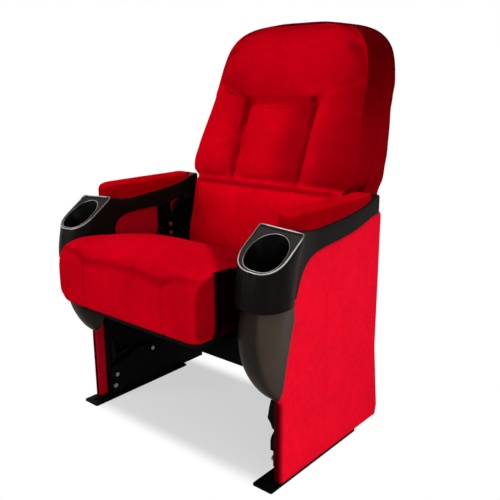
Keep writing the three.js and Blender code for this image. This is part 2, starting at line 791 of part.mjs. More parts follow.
// A lip that swells the collar outwards towards its lower edge, as a moulding's draft
function swollen(body) {
  const geometry = geometryOf(body);
  const place = geometry.attributes.position;
  const noseStartY = cupRidgeY - cupReach + cupNoseLength;
  const fallHeight = armTopZ(cupRidgeY - cupReach) - collarLipZ;
  for (let i = 0; i < place.count; i += 1) {
    const y = place.getY(i);
    const ahead = THREE.MathUtils.clamp((noseStartY - y) / cupNoseLength, 0, 1);
    const down = THREE.MathUtils.clamp(1 - (place.getZ(i) - collarLipZ) / fallHeight, 0, 1);
    place.setY(i, y - collarSwell * ahead * Math.sin((down * Math.PI) / 2));
  }
  return solid(geometry);
}

// The well: round at its floor, and a rounded D that follows the nose at its mouth
function wellRing(opened, radius, wall, heightAt) {
  const wellY = cupRidgeY - wellSetback;
  const halfWidth = mix(radius, wellRadius + mouthFlare, opened) + wall;
  const halfLength = mix(radius, wellRadius, opened) + wall;
  const points = [];
  for (let step = 0; step < roundSteps; step += 1) {
    const angle = Math.PI * 2 * (step / roundSteps);
    const [across, along] = [Math.cos(angle), Math.sin(angle)];
    const power = along < 0 ? 2 / mix(2, mouthPower, opened) : 1;
    const x = cupCentreX + mouthShift * opened + halfWidth * Math.sign(across) * Math.abs(across) ** power;
    const y = wellY + halfLength * Math.sign(along) * Math.abs(along) ** power;
    points.push(new THREE.Vector3(x, y, heightAt(y)));
  }
  return points;
}

function wellBody(wall) {
  const upperRadius = mix(wellRadius, wellFloorRadius, 0.3);
  const rings = mouthShares.map(([down, opened]) => wellRing(
    opened, upperRadius, wall, (y) => armTopZ(Math.min(y, cupRidgeY)) - mouthDepth * down,
  ));
  const floor = wellRing(0, wellFloorRadius, wall, () => wellFloorZ - wall);
  const above = rings[rings.length - 1].map((point) => point.clone().setZ(point.z + cutOverrun));
  return solid(loft([floor, ...rings, above]));
}

// The cup holder's top falls a little from its inner to its outer side
function tilted(body) {
  const geometry = geometryOf(body);
  const place = geometry.attributes.position;
  for (let i = 0; i < place.count; i += 1) {
    const [x, y, z] = [place.getX(i), place.getY(i), place.getZ(i)];
    const near = THREE.MathUtils.clamp(1 - (armTopZ(y) - z) / cupTiltDepth, 0, 1);
    const front = THREE.MathUtils.clamp((cupRidgeY + cupTiltFade - y) / cupTiltFade, 0, 1);
    place.setZ(i, z - cupTilt * (x - cupCentreX + cupHalfWidth) * near * front);
  }
  return solid(geometry);
}

function armBody() {
  const outer = swollen(armLoft(0, 3));
  const cavity = armLoft(armWall, 1)
    .subtract(wellBody(armWall))
    .subtract(behindPanelEdge(seatGap + armWall));
  const postHole = box(
    standInnerX - seatGap, standInnerX + standDepth + seatGap,
    postFrontY - seatGap * 2, postFrontY + postWidth + seatGap * 2,
    panelTopZ - cutOverrun * 3, postTopZ + seatGap,
  );
  const legRoom = box(
    standInnerX - seatGap, standInnerX + standDepth + seatGap * 2, standFrontY - seatGap, postFrontY,
    collarLipZ - cutOverrun, standTopZ + seatGap,
  );
  const windowEdge = windowShares.map(([along, up]) => [
    cupRidgeY + armLength * along, mix(collarLipZ, railTopZ, up),
  ]);
  const windowTop = windowEdge[windowEdge.length - 1][1];
  const windowOutline = [...windowEdge, [postFrontY, windowTop], [postFrontY, windowEdge[0][1]]];
  const window = prism([...windowOutline].reverse(), 'x', 0, panelInnerX - seatGap);
  return tilted(outer
    .subtract(behindPanelEdge(seatGap))
    .subtract(cavity)
    .subtract(legRoom)
    .subtract(window)
    .subtract(wellBody(0))
    .subtract(rimRecess())
    .subtract(postHole));
}

// The sloping top inside the cup holder's raised rim lies a little lower than the rim
function rimRecess() {
  const [cupIn, cupOut] = [cupCentreX - cupHalfWidth, cupCentreX + cupHalfWidth];
  const frontY = cupRidgeY - cupReach;
  const side = [0.04, 0.12, 0.26, 0.46, 0.72, 1].map((share) => frontY + cupNoseLength * share);
  const outer = [...side, cupRidgeY - armEdgeRadius].map((y) => [armSides(y)[1], y]);
  const inner = [...side, cupRidgeY - armEdgeRadius].map((y) => [armSides(y)[0], y]).reverse();
  const ends = [[cupOut - armEdgeRadius, cupRidgeY], [cupIn + armEdgeRadius, cupRidgeY]];
  const outline = [...outer, ...ends, ...inner];
  const drawn = offset(outline, rimWidth);
  const bottom = drawn.map((point) => {
    const z = cupRidgeZ + cupSlope * (point.y - cupRidgeY) - rimHeight;
    return new THREE.Vector3(point.x, point.y, z);
  });
  const top = bottom.map((point) => point.clone().add(new THREE.Vector3(0, 0, cutOverrun)));
  return solid(loft([bottom, top]));
}

// Lower cup shell: rounded sections that draw in to a tip in front of the leg
function shellRing({ up, front, inner, outer }, wall) {
  const z = mix(shellBottomZ, collarLipZ - seatGap, up);
  const x0 = mix(shellInnerX, shellTipInnerX, inner) + wall;
  const x1 = mix(shellOuterX, shellTipOuterX, outer) - wall;
  const frontY = mix(shellFrontY, shellTipY, front) + wall;
  const rearY = shellRearY + (wall > 0 ? cutOverrun : 0);
  const noseLength = Math.min(cupNoseLength, (rearY - frontY) * 0.8);
  const [centreX, half] = [(x0 + x1) / 2, (x1 - x0) / 2];
  const nose = [];
  for (let step = 0; step <= shellNoseSteps; step += 1) {
    const angle = Math.PI * (step / shellNoseSteps);
    const [across, ahead] = [Math.cos(angle), Math.sin(angle)];
    const power = 2 / cupNosePower;
    nose.push(new THREE.Vector3(
      centreX + half * Math.sign(across) * Math.abs(across) ** power,
      frontY + noseLength * (1 - Math.abs(ahead) ** power),
      z,
    ));
  }
  const rearX = Math.min(x1, panelOuterX + shellWall - wall);
  const turnY = mix(frontY + noseLength, shellRearY, shellTurnShare);
  return [
    ...nose, new THREE.Vector3(x0, rearY, z), new THREE.Vector3(rearX, rearY, z),
    new THREE.Vector3(mix(x1, rearX, 0.5), turnY, z),
  ];
}

function cupShell() {
  const outer = solid(loft(shellShares.map((level) => shellRing(level, 0))));
  const hollow = shellShares.slice(0, -2).map((level) => shellRing(level, shellWall));
  const mouth = hollow[0].map((point) => point.clone().setZ(collarLipZ + cutOverrun));
  const standClearance = box(
    standInnerX - seatGap, cupCentreX + cupHalfWidth, standFrontY - seatGap, shellRearY + cutOverrun,
    0, collarLipZ + cutOverrun,
  );
  return outer
    .subtract(solid(loft([mouth, ...hollow])))
    .subtract(standClearance)
    .subtract(behindPanelEdge(seatGap));
}

// Arm pad: a crowned strip with rounded ends that follows the rail's top
function armPad() {
  const ends = padEndShares.map(({ along, full }) => ({ reach: padEdgeRadius * along, full }));
  const reach = ends[ends.length - 1].reach;
  const rail = railShares
    .map(({ along }) => ({ y: mix(cupRidgeY, railRearY, along), full: 1 }))
    .filter(({ y }) => y > padFrontY + reach + seatGap && y < padRearY - reach - seatGap);
  const places = [
    ...ends.map((end) => ({ y: padFrontY + end.reach, full: end.full })),
    ...rail,
    ...ends.map((end) => ({ y: padRearY - end.reach, full: end.full })).reverse(),
  ];
  const rings = places.map(({ y, full }) => {
    const [armIn, armOut] = armSides(y);
    const x0 = Math.max(armIn, railInnerX - padInnerFlare) + padSideSetback;
    const x1 = Math.min(armOut, railOuterX) - padSideSetback;
    const middle = (x0 + x1) / 2;
    const half = ((x1 - x0) / 2) * mix(padNoseWidthShare, 1, full);
    const z0 = armTopZ(y) + seatGap;
    return sectionRing(
      y, middle - half, middle + half, z0, mix(z0, padTopZ, full),
      padEdgeRadius * full, padLowerRadius, filletSteps,
    );
  });
  return solid(loft(rings)).subtract(armLoft(0, 3));
}

// Backrest: places on its surfaces at one level
function backLevel({ up, front, wide, deep }) {
  const z = mix(backBottomZ, backTopZ, up);
  const below = THREE.MathUtils.clamp((lumbarSeamZ + channelWidth - z) / channelWidth, 0, 1);
  const halfWidth = backHalfWidth * wide;
  const frontHalf = mix(halfWidth, Math.min(halfWidth, lumbarHalfWidth), below);
  const frontY = backFrontY + backLean * front;
  const midY = frontY + backCushionDepth * Math.min(deep, 1);
  return { up, z, halfWidth, frontHalf, frontY, midY, rearY: frontY + backDepth * deep };
}

// How deep the sewn channels lie at one place of the back's front
function channelAt(x, z) {
  const dip = (away) => Math.exp(-((away / (channelWidth / 2)) ** 2));
  const outsideShare = THREE.MathUtils.clamp((Math.abs(x) - channelX) / (backHalfWidth - channelX), 0, 1);
  const lumbar = dip(z - lumbarSeamZ);
  const head = dip(z - headSeamZ - headSeamRise * outsideShare);
  const between = z > lumbarSeamZ && z < headSeamZ ? 1 : 0;
  return channelDepth * Math.max(lumbar, head, between * dip(Math.abs(x) - channelX));
}

function backCushionRing(row) {
  const level = backLevel(row);
  const { z, frontHalf, frontY, midY } = level;
  const inner = Math.min(channelX, frontHalf * 0.45);
  const middleShares = [0, 0.55, 0.9, 1];
  const sideShares = [0.06, 0.3, 0.62, 0.86, 0.96];
  const right = [
    ...middleShares.map((share) => inner * share),
    ...sideShares.map((share) => mix(inner, frontHalf, share)),
  ];
  const acrossAll = [...right.slice(1).map((x) => -x).reverse(), ...right];
  const lift = Math.exp(-(((z - headSeamZ) / (headSeamRise * 2)) ** 2));
  const fade = THREE.MathUtils.clamp((1 - row.up) * 8, 0.2, 1) * THREE.MathUtils.clamp(row.up * 20, 0.4, 1);
  const ring = acrossAll.map((x) => {
    const outsideShare = THREE.MathUtils.clamp((Math.abs(x) - inner) / (frontHalf - inner), 0, 1);
    const placeZ = z + headSeamRise * outsideShare * lift;
    const crown = backCrown * fade * (1 - (Math.abs(x) / frontHalf) ** 3);
    const edge = backEdgeRoll * Math.max(0, outsideShare - 0.8) * 5;
    return new THREE.Vector3(x, frontY - crown + edge + channelAt(x, placeZ) * fade, placeZ);
  });
  const sideZ = z + headSeamRise * lift;
  const sideY = Math.min(frontY + backEdgeDepth, midY - seatGap);
  const side = [
    new THREE.Vector3(frontHalf, sideY, sideZ),
    new THREE.Vector3(frontHalf, midY, sideZ),
    new THREE.Vector3(-frontHalf, midY, sideZ),
    new THREE.Vector3(-frontHalf, sideY, sideZ),
  ];
  return [...ring, ...side];
}

function backCushion() {
  return solid(loft(backShares.map(backCushionRing)));
}

// A closed shape between two depths of the back, drawn in from its outline
function backLayer(depthFrom, depthTo, drawIn, corner, rows = backShares) {
  const rings = rows.map((row) => {
    const level = backLevel(row);
    const half = Math.max(level.halfWidth - drawIn, backHalfWidth * 0.1);
    const [y0, y1] = [depthFrom(level), depthTo(level)];
    const z = mix(backBottomZ + drawIn, backTopZ - drawIn * 0.8, row.up);
    const bend = Math.min(corner, half * 0.5, (y1 - y0) * 0.6);
    return [
      [-half, y0], [0, y0], [half, y0], [half, y1 - bend], [half - bend * 0.3, y1 - bend * 0.3],
      [half - bend, y1], [0, y1], [bend - half, y1], [bend * 0.3 - half, y1 - bend * 0.3], [-half, y1 - bend],
    ].map(([x, y]) => new THREE.Vector3(x, y, z));
  });
  return solid(loft(rings));
}

function sparseRows(step) {
  return backShares.filter((row, index) => index % step === 0 || index > backShares.length - 4);
}

function backShell() {
  const front = ({ midY }) => midY + seatGap;
  const rear = ({ rearY }) => rearY;
  const lift = headSeamRise;
  const body = backLayer(front, rear, 0, shellCornerRadius, sparseRows(2));
  const boardRoom = backLayer(
    ({ midY }) => midY - lift, ({ midY }) => midY + boardThickness + seatGap * 2,
    boardInset - seatGap, boardCorner,
    sparseRows(3),
  );
  return body.subtract(backCushionClearance()).subtract(boardRoom);
}

// The cushion's rear face with its lifted rows, as a cutter for the shell
function backCushionClearance() {
  const rings = backShares.map((row) => {
    const { z, frontHalf, halfWidth, midY } = backLevel(row);
    const lift = Math.exp(-(((z - headSeamZ) / (headSeamRise * 2)) ** 2));
    const sideZ = z + headSeamRise * lift;
    const y0 = midY - backCushionDepth;
    const half = Math.max(frontHalf, halfWidth) + cutOverrun;
    return [
      new THREE.Vector3(-half, y0, z), new THREE.Vector3(half, y0, z),
      new THREE.Vector3(half, midY + seatGap, sideZ), new THREE.Vector3(-half, midY + seatGap, sideZ),
    ];
  });
  return solid(loft(rings));
}

function backBoard() {
  const front = ({ midY }) => midY + seatGap * 2;
  const rear = ({ midY }) => midY + boardThickness;
  return backLayer(front, rear, boardInset, boardCorner, sparseRows(3)).subtract(backCushionClearance());
}

// Moulded rear cover: a crowned skin on the back shell
function backCover() {
  const body = backLayer(
    ({ rearY }) => rearY - coverThickness, ({ rearY }) => rearY + coverThickness + coverCrown,
    coverInset, coverCorner, sparseRows(2),
  );
  const shellRoom = backLayer(
    ({ midY }) => midY, ({ rearY }) => rearY + seatGap, 0, shellCornerRadius, sparseRows(2),
  );
  return body.subtract(shellRoom);
}

// Rear closing panel: a pressed tray with ribs, open to the rear
function rearPanel() {
  const halfWidth = panelInnerX - seatGap * 2;
  const y0 = standRearY + seatGap;
  const y1 = y0 + rearPanelDepth;
  const outer = box(-halfWidth, halfWidth, y0, y1, rearPanelBottomZ, rearPanelTopZ);
  const pocket = box(
    rearPanelWall - halfWidth, halfWidth - rearPanelWall, y0 + rearPanelWall, y1 + cutOverrun,
    rearPanelBottomZ + rearPanelWall, rearPanelTopZ - rearPanelWall,
  );
  const ribs = [];
  for (let rib = 1; rib <= rearRibCount; rib += 1) {
    const x = mix(-halfWidth, halfWidth, rib / (rearRibCount + 1));
    ribs.push(box(
      x - rearRibWidth / 2, x + rearRibWidth / 2, y0, y1 - rearPanelWall, rearPanelBottomZ, rearPanelTopZ,
    ));
  }
  return joined(outer.subtract(pocket), ...ribs);
}

// Seat cushion: its side profile carried across, drawn in at the ends and sewn at two seams
function seatProfile(draw, seam, drop) {
  const depth = seatRearY - seatFrontY;
  const middle = new THREE.Vector2(seatFrontY + depth / 2, seatBottomZ + seatHeight / 2);
  return seatProfileShares.map(([alongShare, upShare]) => {
    const point = new THREE.Vector2(seatFrontY + depth * alongShare, seatBottomZ + seatHeight * upShare);
    point.y -= drop * upShare;
    point.x = mix(point.x, middle.x, draw * 0.5);
    point.y = Math.max(mix(point.y, middle.y, draw), seatBottomZ + draw * seatHeight * 0.2);
    const atFront = alongShare < 0.03 && upShare > 0.05 ? 1 : 0;
    point.x += seatSeamDepth * seam * atFront;
    return point;
  });
}

function seatCushion() {
  const half = [...seatSideShares];
  const stations = [...half.slice(1).map((row) => ({ ...row, across: -row.across })).reverse(), ...half];
  const rings = stations.map(({ across, draw, seam }) => {
    const drop = seatSideDrop * Math.abs(across) ** 3;
    const atSeam = seam === 1 ? Math.sign(across) * seatSeamX : across * seatHalfWidth;
    return seatProfile(draw, seam, drop).map(({ x, y }) => new THREE.Vector3(atSeam, x, y));
  });
  return solid(loft(rings));
}

function seatPan() {
  const z1 = seatBottomZ - seatGap;
  const [y0, y1] = [seatFrontY + panFrontSetback, seatRearY - panRearSetback];
  const outline = rounded([
    [-panHalfWidth, y0, panCornerRadius], [panHalfWidth, y0, panCornerRadius],
    [panHalfWidth, y1, panCornerRadius], [-panHalfWidth, y1, panCornerRadius],
  ]);
  return prism(outline, 'z', z1 - panThickness, z1);
}

// Places on the tipping gear, given as a radius and an angle about the pivot
function aboutPivot(radius, degrees) {
  const angle = THREE.MathUtils.degToRad(degrees);
  return [pivotY + radius * Math.cos(angle), pivotZ + radius * Math.sin(angle)];
}

const hubBore = pinRadius + bushWall + runningGap * 2;
const footTopZ = seatBottomZ - panThickness - seatGap * 2;

// Seat arm: a plate with a foot under the pan, a hub on the pivot, a stop peg and a spring peg
function seatArm() {
  const [springY, springZ] = aboutPivot(springArm, springArmAngle);
  const [pegY, pegZ] = aboutPivot(stopCircle, stopPegAngle);
  const plateX = seatArmX + seatArmThickness;
  const footZ = footTopZ - seatArmThickness;
  const outline = rounded([
    [pivotY - seatArmFront, footZ, 0], [pivotY + seatArmRear, footZ, 0],
    [pivotY + seatArmRear, pivotZ - hubRadius, hubRadius],
    [springY + springPegRadius * 3, springZ - springPegRadius, springPegRadius],
    [springY + springPegRadius, springZ + springPegRadius * 3, springPegRadius * 2],
    [pivotY - hubRadius, pivotZ + hubRadius + springPegRadius, hubRadius],
    [pivotY - seatArmFront, mix(footZ, pivotZ, 0.5), hubRadius],
  ]);
  const plate = prism(outline, 'x', seatArmX, plateX);
  const foot = box(
    seatArmFootX, seatArmX + weldOverlap, pivotY - seatArmFront, pivotY + seatArmRear, footZ, footTopZ,
  );
  const hub = barX(hubRadius, plateX - weldOverlap, plateX + hubLength, pivotY, pivotZ);
  const bore = barX(hubBore, plateX, plateX + hubLength + cutOverrun, pivotY, pivotZ);
  const stopPeg = barX(stopPegRadius, plateX - weldOverlap, plateX + stopPegLength, pegY, pegZ, boltSteps);
  const springPeg = barX(
    springPegRadius, plateX - weldOverlap, springX + springRadius, springY, springZ, boltSteps,
  );
  const screwHoles = screwPlaces().map((y) => {
    const hole = new THREE.CylinderGeometry(boltRadius, boltRadius, seatArmThickness * 3, boltSteps);
    hole.rotateX(Math.PI / 2);
    hole.translate(panScrewX, y, footZ);
    return solid(hole);
  });
  return joined(plate, foot, hub).subtract(bore).add(stopPeg).add(springPeg).subtract(joined(...screwHoles));
}

function screwPlaces() {
  return [pivotY - panScrewFront, pivotY + panScrewRear];
}

// Pan screw: a domed head under the seat arm's foot and a shank up to the pan
function panScrew(y) {
  const footZ = footTopZ - seatArmThickness;
  const head = screwHeadShares.map(([out, down]) => [screwHeadRadius * out, -screwHeadHeight * down]);
  const shank = [
    [boltRadius - seatGap, 0], [boltRadius - seatGap, seatArmThickness], [0, seatArmThickness],
  ];
  const profile = [...head, ...shank].map(([radius, along]) => new THREE.Vector2(radius, along));
  const geometry = new THREE.LatheGeometry(profile, boltSteps);
  geometry.rotateX(Math.PI / 2);
  geometry.translate(panScrewX, y, footZ - seatGap / 2);
  return solid(geometry);
}

function pivotBush() {
  const plateX = seatArmX + seatArmThickness;
  const inner = pinRadius + runningGap;
  const outer = inner + bushWall;
  const [x0, x1] = [plateX + seatGap, plateX + hubLength];
  return barX(outer, x0, x1, pivotY, pivotZ)
    .subtract(barX(inner, x0 - cutOverrun, x1 + cutOverrun, pivotY, pivotZ));
}

function pivotPin() {
  return barX(pinRadius, seatArmX + seatArmThickness + seatGap, standInnerX - seatGap, pivotY, pivotZ);
}

// Pivot housing: a flanged boss on the stand's inner face that carries the pin
function pivotHousing() {
  const face = standInnerX - seatGap;
  const bore = pinRadius + runningGap;
  const profile = [
    [bore, face], [housingRadius, face], [housingRadius, face - housingBaseLength],
    [housingNoseRadius + housingFillet, face - housingBaseLength],
    [housingNoseRadius, face - housingBaseLength - housingFillet],
    [housingNoseRadius, face - housingLength + housingFillet],
    [housingNoseRadius - housingFillet, face - housingLength], [bore, face - housingLength], [bore, face],
  ];
  return turnedX(profile, pivotY, pivotZ);
}

// Rubber buffers on the stand that the stop peg meets at each end of the travel
function bufferAngle(end) {
  const spacing = stopPegRadius + bufferRadius + seatGap;
  const between = THREE.MathUtils.radToDeg(2 * Math.asin(spacing / (2 * stopCircle)));
  return end === 'down' ? stopPegAngle + between : stopPegAngle - tipTravel - between;
}

function buffer(end) {
  const [y, z] = aboutPivot(stopCircle, bufferAngle(end));
  const face = standInnerX - seatGap;
  const tip = face - bufferLength - bufferBoltRadius / 2;
  const profile = [
    [0, face], [bufferRadius, face], [bufferRadius, face - bufferLength + bufferChamfer],
    [bufferRadius - bufferChamfer, face - bufferLength], [bufferBoltRadius, face - bufferLength],
    [bufferBoltRadius, tip], [0, tip],
  ];
  return turnedX(profile, y, z);
}

// Return spring: one wire from the anchor up to the seat arm's spring peg
function springPath() {
  const [topY, topZ] = aboutPivot(springArm, springArmAngle);
  const z0 = anchorZ + anchorRadius + seatGap;
  const z1 = topZ - springPegRadius - seatGap;
  const coilStart = z0 + springEndLength;
  const coilEnd = z1 - springEndLength;
  const points = [z0, coilStart - springTurnIn].map((z) => new THREE.Vector3(springX, anchorY, z));
  const steps = springTurns * springStepsPerTurn;
  for (let step = 0; step <= steps; step += 1) {
    const turn = (step / springStepsPerTurn) * Math.PI * 2;
    const share = step / steps;
    const y = mix(anchorY, topY, share);
    points.push(new THREE.Vector3(
      springX + springRadius * Math.cos(turn), y + springRadius * Math.sin(turn),
      mix(coilStart, coilEnd, share),
    ));
  }
  points.push(new THREE.Vector3(springX, topY, coilEnd + springTurnIn), new THREE.Vector3(springX, topY, z1));
  return points;
}

function leastWireGap(points) {
  let least = Infinity;
  for (let i = 0; i < points.length; i += 1) {
    for (let j = i + springStepsPerTurn - 2; j < points.length; j += 1) {
      least = Math.min(least, points[i].distanceTo(points[j]));
    }
  }
  return least - springWireRadius * 2;
}

function wireGeometry(points) {
  const rings = points.map((point, index) => {
    const last = points[Math.max(index - 1, 0)];
    const next = points[Math.min(index + 1, points.length - 1)];
    const atEnd = index < 2 || index > points.length - 3;
    const way = atEnd ? new THREE.Vector3(0, 0, 1) : next.clone().sub(last).normalize();
    const across = atEnd ? new THREE.Vector3(0, 1, 0) : new THREE.Vector3(0, 0, 1);
    const first = across.clone().addScaledVector(way, -across.dot(way)).normalize();
    const second = way.clone().cross(first).normalize();
    return { point, first, second };
  });
  let spun = 0;
  let before = null;
  const circles = rings.map(({ point, first, second }) => {
    if (before) {
      const along = before.clone();
      spun = Math.atan2(along.dot(second), along.dot(first));
    }
    const circle = [];
    for (let corner = 0; corner < springWireSides; corner += 1) {
      const angle = spun + (corner / springWireSides) * Math.PI * 2;
      circle.push(point.clone()
        .addScaledVector(first, springWireRadius * Math.cos(angle))
        .addScaledVector(second, springWireRadius * Math.sin(angle)));
    }
    before = circle[0].clone().sub(point).normalize();
    return circle;
  });
  return loft(circles);
}

function returnSpring() {
  return solid(wireGeometry(springPath()));
}

// Anchor bolt: a spool on the stand that the spring's lower end hooks on
function springAnchor() {
  const face = standInnerX + standWall;
  const tip = springX - springRadius;
  const profile = [
    [0, tip], [anchorHeadRadius, tip], [anchorHeadRadius, tip + anchorHeadLength],
    [anchorRadius, tip + anchorHeadLength + anchorFillet], [anchorRadius, standInnerX - seatGap],
    [boltRadius, standInnerX - seatGap], [boltRadius, face + boltRadius], [0, face + boltRadius],
  ];
  return turnedX(profile, anchorY, anchorZ);
}

// Brace: a curved plate on the stand's inner face with a flange along its upper edge
function bracePlace([alongShare, upShare]) {
  return new THREE.Vector2(braceFrontY + braceLength * alongShare, braceBottomZ + braceHeight * upShare);
}

function legBrace() {
  const upper = braceTopShares.map(bracePlace);
  const outline = [...upper, ...braceBottomShares.map(bracePlace)].reverse();
  const face = standInnerX - seatGap;
  const plate = prism(outline, 'x', face - braceThickness, face);
  const drawn = offset(outline, braceThickness).slice(-upper.length);
  const flangeOutline = [...upper, ...drawn];
  const flange = prism(flangeOutline.reverse(), 'x', face - braceFlangeReach, face);
  const holes = Object.values(braceBoltShares).map(bracePlace).map(({ x: y, y: z }) => barX(
    boltRadius + seatGap, face - braceThickness - seatGap, face + seatGap, y, z, boltSteps,
  ));
  return plate.add(flange).subtract(joined(...holes));
}

// A hexagon bolt along X, its head inside and its shank through a plate into the stand
function hexBolt({ x: y, y: z }, headFace, shankEnd) {
  const head = new THREE.CylinderGeometry(boltHeadRadius, boltHeadRadius, boltHeadLength, 6);
  head.rotateZ(Math.PI / 2);
  head.translate(headFace - boltHeadLength / 2, y, z);
  return solid(head).add(barX(boltRadius, headFace - weldOverlap, shankEnd, y, z, boltSteps));
}

// Back bracket: a joggled plate, flat on the post in front and on the back shell behind
function bracketPlace([alongShare, upShare]) {
  return new THREE.Vector2(
    bracketFrontY + bracketLength * alongShare, bracketBottomZ + bracketHeight * upShare,
  );
}

function backBracket() {
  const face = standInnerX - seatGap;
  const stepY = bracketFrontY + bracketLength * bracketStepShare;
  const rearY = bracketFrontY + bracketLength + cutOverrun;
  const outerX = bracketInnerX + bracketThickness;
  const plan = [
    [face - bracketThickness, 0], [face, 0], [face, stepY], [outerX, stepY + bracketThickness],
    [outerX, rearY], [bracketInnerX, rearY], [bracketInnerX, stepY],
    [face - bracketThickness, stepY - bracketThickness],
  ];
  const section = prism(plan, 'z', 0, bracketBottomZ + bracketHeight + cutOverrun);
  const outline = bracketOutlineShares.map(bracketPlace).reverse();
  const side = prism(outline, 'x', 0, standInnerX + standDepth);
  const postHoles = Object.values(postBoltShares).map(bracketPlace).map(({ x: y, y: z }) => barX(
    boltRadius + seatGap, face - bracketThickness * 2, face + seatGap, y, z, boltSteps,
  ));
  const backHoles = Object.values(backBoltShares).map(bracketPlace).map(({ x: y, y: z }) => barX(
    boltRadius + seatGap, bracketInnerX - seatGap, outerX + seatGap, y, z, boltSteps,
  ));
  return section.intersect(side).subtract(joined(...postHoles, ...backHoles));
}

// A bolt from outside the bracket towards the back shell
function backBolt({ x: y, y: z }) {
  const face = bracketInnerX + bracketThickness + seatGap;
  const head = new THREE.CylinderGeometry(boltHeadRadius, boltHeadRadius, boltHeadLength, 6);
  head.rotateZ(Math.PI / 2);
  head.translate(face + boltHeadLength / 2, y, z);
  return solid(head).add(barX(boltRadius, bracketInnerX, face + weldOverlap, y, z, boltSteps));
}

// The scene
const group = new THREE.Group();

function mirrored(geometry) {
  const copy = geometry.clone();
  copy.scale(-1, 1, 1);
  const index = copy.index.array;
  for (let i = 0; i < index.length; i += 3) {
    [index[i], index[i + 1]] = [index[i + 1], index[i]];
  }
  return copy;
}

function place(name, geometry, finish) {
  const mesh = new THREE.Mesh(geometry, new THREE.MeshStandardMaterial(finish));
  mesh.name = name;
  group.add(mesh);
}

function single(name, body, finish) {
  place(name, geometryOf(body), finish);
}

function pair(name, body, finish) {
  const geometry = geometryOf(body);
  place(`${name}_right`, geometry, finish);
  place(`${name}_left`, mirrored(geometry), finish);
}

pair('foot_plate', footPlate(), finishes.blackSteel);
pair('stand_frame', standFrame(), finishes.blackSteel);
pair('side_panel', sidePanel(), finishes.redFabric);
pair('arm_body', armBody(), finishes.blackPlastic);
pair('cup_shell', cupShell(), finishes.brownPlastic);
pair('arm_pad', armPad(), finishes.padFabric);
pair('leg_brace', legBrace(), finishes.blackSteel);
pair('back_bracket', backBracket(), finishes.blackSteel);
pair('pivot_housing', pivotHousing(), finishes.blackSteel);
pair('pivot_pin', pivotPin(), finishes.zincSteel);
pair('pivot_bush', pivotBush(), finishes.nylon);
pair('seat_arm', seatArm(), finishes.blackSteel);
pair('seat_down_buffer', buffer('down'), finishes.rubber);
pair('seat_up_buffer', buffer('up'), finishes.rubber);
pair('return_spring', returnSpring(), finishes.zincSteel);
pair('spring_anchor', springAnchor(), finishes.zincSteel);

const braceFace = standInnerX - seatGap * 2 - braceThickness;
const postFace = standInnerX - seatGap * 2 - bracketThickness;
const shankEnd = standInnerX + standWall + boltRadius;
for (const [which, shares] of Object.entries(braceBoltShares)) {
  pair(`brace_bolt_${which}`, hexBolt(bracePlace(shares), braceFace, shankEnd), finishes.zincSteel);
}
for (const [which, shares] of Object.entries(postBoltShares)) {
  pair(`post_bolt_${which}`, hexBolt(bracketPlace(shares), postFace, shankEnd), finishes.zincSteel);
}
for (const [which, shares] of Object.entries(backBoltShares)) {
  pair(`back_bolt_${which}`, backBolt(bracketPlace(shares)), finishes.zincSteel);
}
screwPlaces().forEach((y, index) => {
  pair(`pan_screw_${index === 0 ? 'front' : 'rear'}`, panScrew(y), finishes.zincSteel);
});

single('back_cushion', backCushion(), finishes.redFabric);
single('back_board', backBoard(), finishes.board);
single('back_shell', backShell(), finishes.redFabric);
single('back_cover', backCover(), finishes.blackPlastic);
single('rear_panel', rearPanel(), finishes.blackSteel);
single('seat_cushion', seatCushion(), finishes.redFabric);
single('seat_pan', seatPan(), finishes.board);

console.log(`least gap of the return spring's wire to itself: ${leastWireGap(springPath()).toFixed(2)} mm`);

// The origin is on the floor, under the middle of the whole seat
const extent = new THREE.Box3().setFromObject(group);
group.position.y = -(extent.min.y + extent.max.y) / 2;

export default group;
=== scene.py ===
# Tip up auditorium seat: velour cushions, padded arms with cup holders, steel stands.
# Sizes are drawn in millimetres from the middle of the seat, and toMetres moves them
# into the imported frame.
import bpy
import bmesh
import numpy as np
from mathutils import Matrix, Vector


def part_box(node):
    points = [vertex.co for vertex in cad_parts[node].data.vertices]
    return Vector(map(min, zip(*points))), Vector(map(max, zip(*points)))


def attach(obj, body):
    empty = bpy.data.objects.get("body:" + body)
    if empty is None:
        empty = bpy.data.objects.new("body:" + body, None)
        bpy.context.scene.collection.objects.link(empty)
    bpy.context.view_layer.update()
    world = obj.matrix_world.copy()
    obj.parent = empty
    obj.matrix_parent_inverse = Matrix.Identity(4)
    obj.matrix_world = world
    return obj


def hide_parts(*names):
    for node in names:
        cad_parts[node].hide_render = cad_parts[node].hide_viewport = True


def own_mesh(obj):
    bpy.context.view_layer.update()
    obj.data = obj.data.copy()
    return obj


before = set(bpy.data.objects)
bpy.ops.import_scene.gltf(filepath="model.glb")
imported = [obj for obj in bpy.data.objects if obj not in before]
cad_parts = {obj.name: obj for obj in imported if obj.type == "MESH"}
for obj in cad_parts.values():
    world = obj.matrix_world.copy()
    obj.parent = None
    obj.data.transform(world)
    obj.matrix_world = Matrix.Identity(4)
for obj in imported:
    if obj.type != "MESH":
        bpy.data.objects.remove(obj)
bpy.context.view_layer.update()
scene = bpy.context.scene

drawing = {
    "standFrontY": -178.0,   # front of the stands, which lines the drawing up with the frame
    "standInnerX": 285.0,
    "standDepth": 22.0,
    "cupRidgeY": -174.0,     # ridge between the cup holder and the rail
    "cupRidgeZ": 567.0,
    "armLength": 338.0,
    "railTopZ": 552.0,
    "collarLipZ": 418.0,
    "postSetback": 208.0,    # from the ridge to the post's front face
    "postWidth": 32.0,
    "postTopZ": 545.0,
    "standTopZ": 425.0,
    "seatGap": 0.3,          # between pieces that meet
}
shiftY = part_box("stand_frame_right")[0].y * 1000 - drawing["standFrontY"]
print("frame loaded, drawing moved by", round(shiftY, 3), "mm")


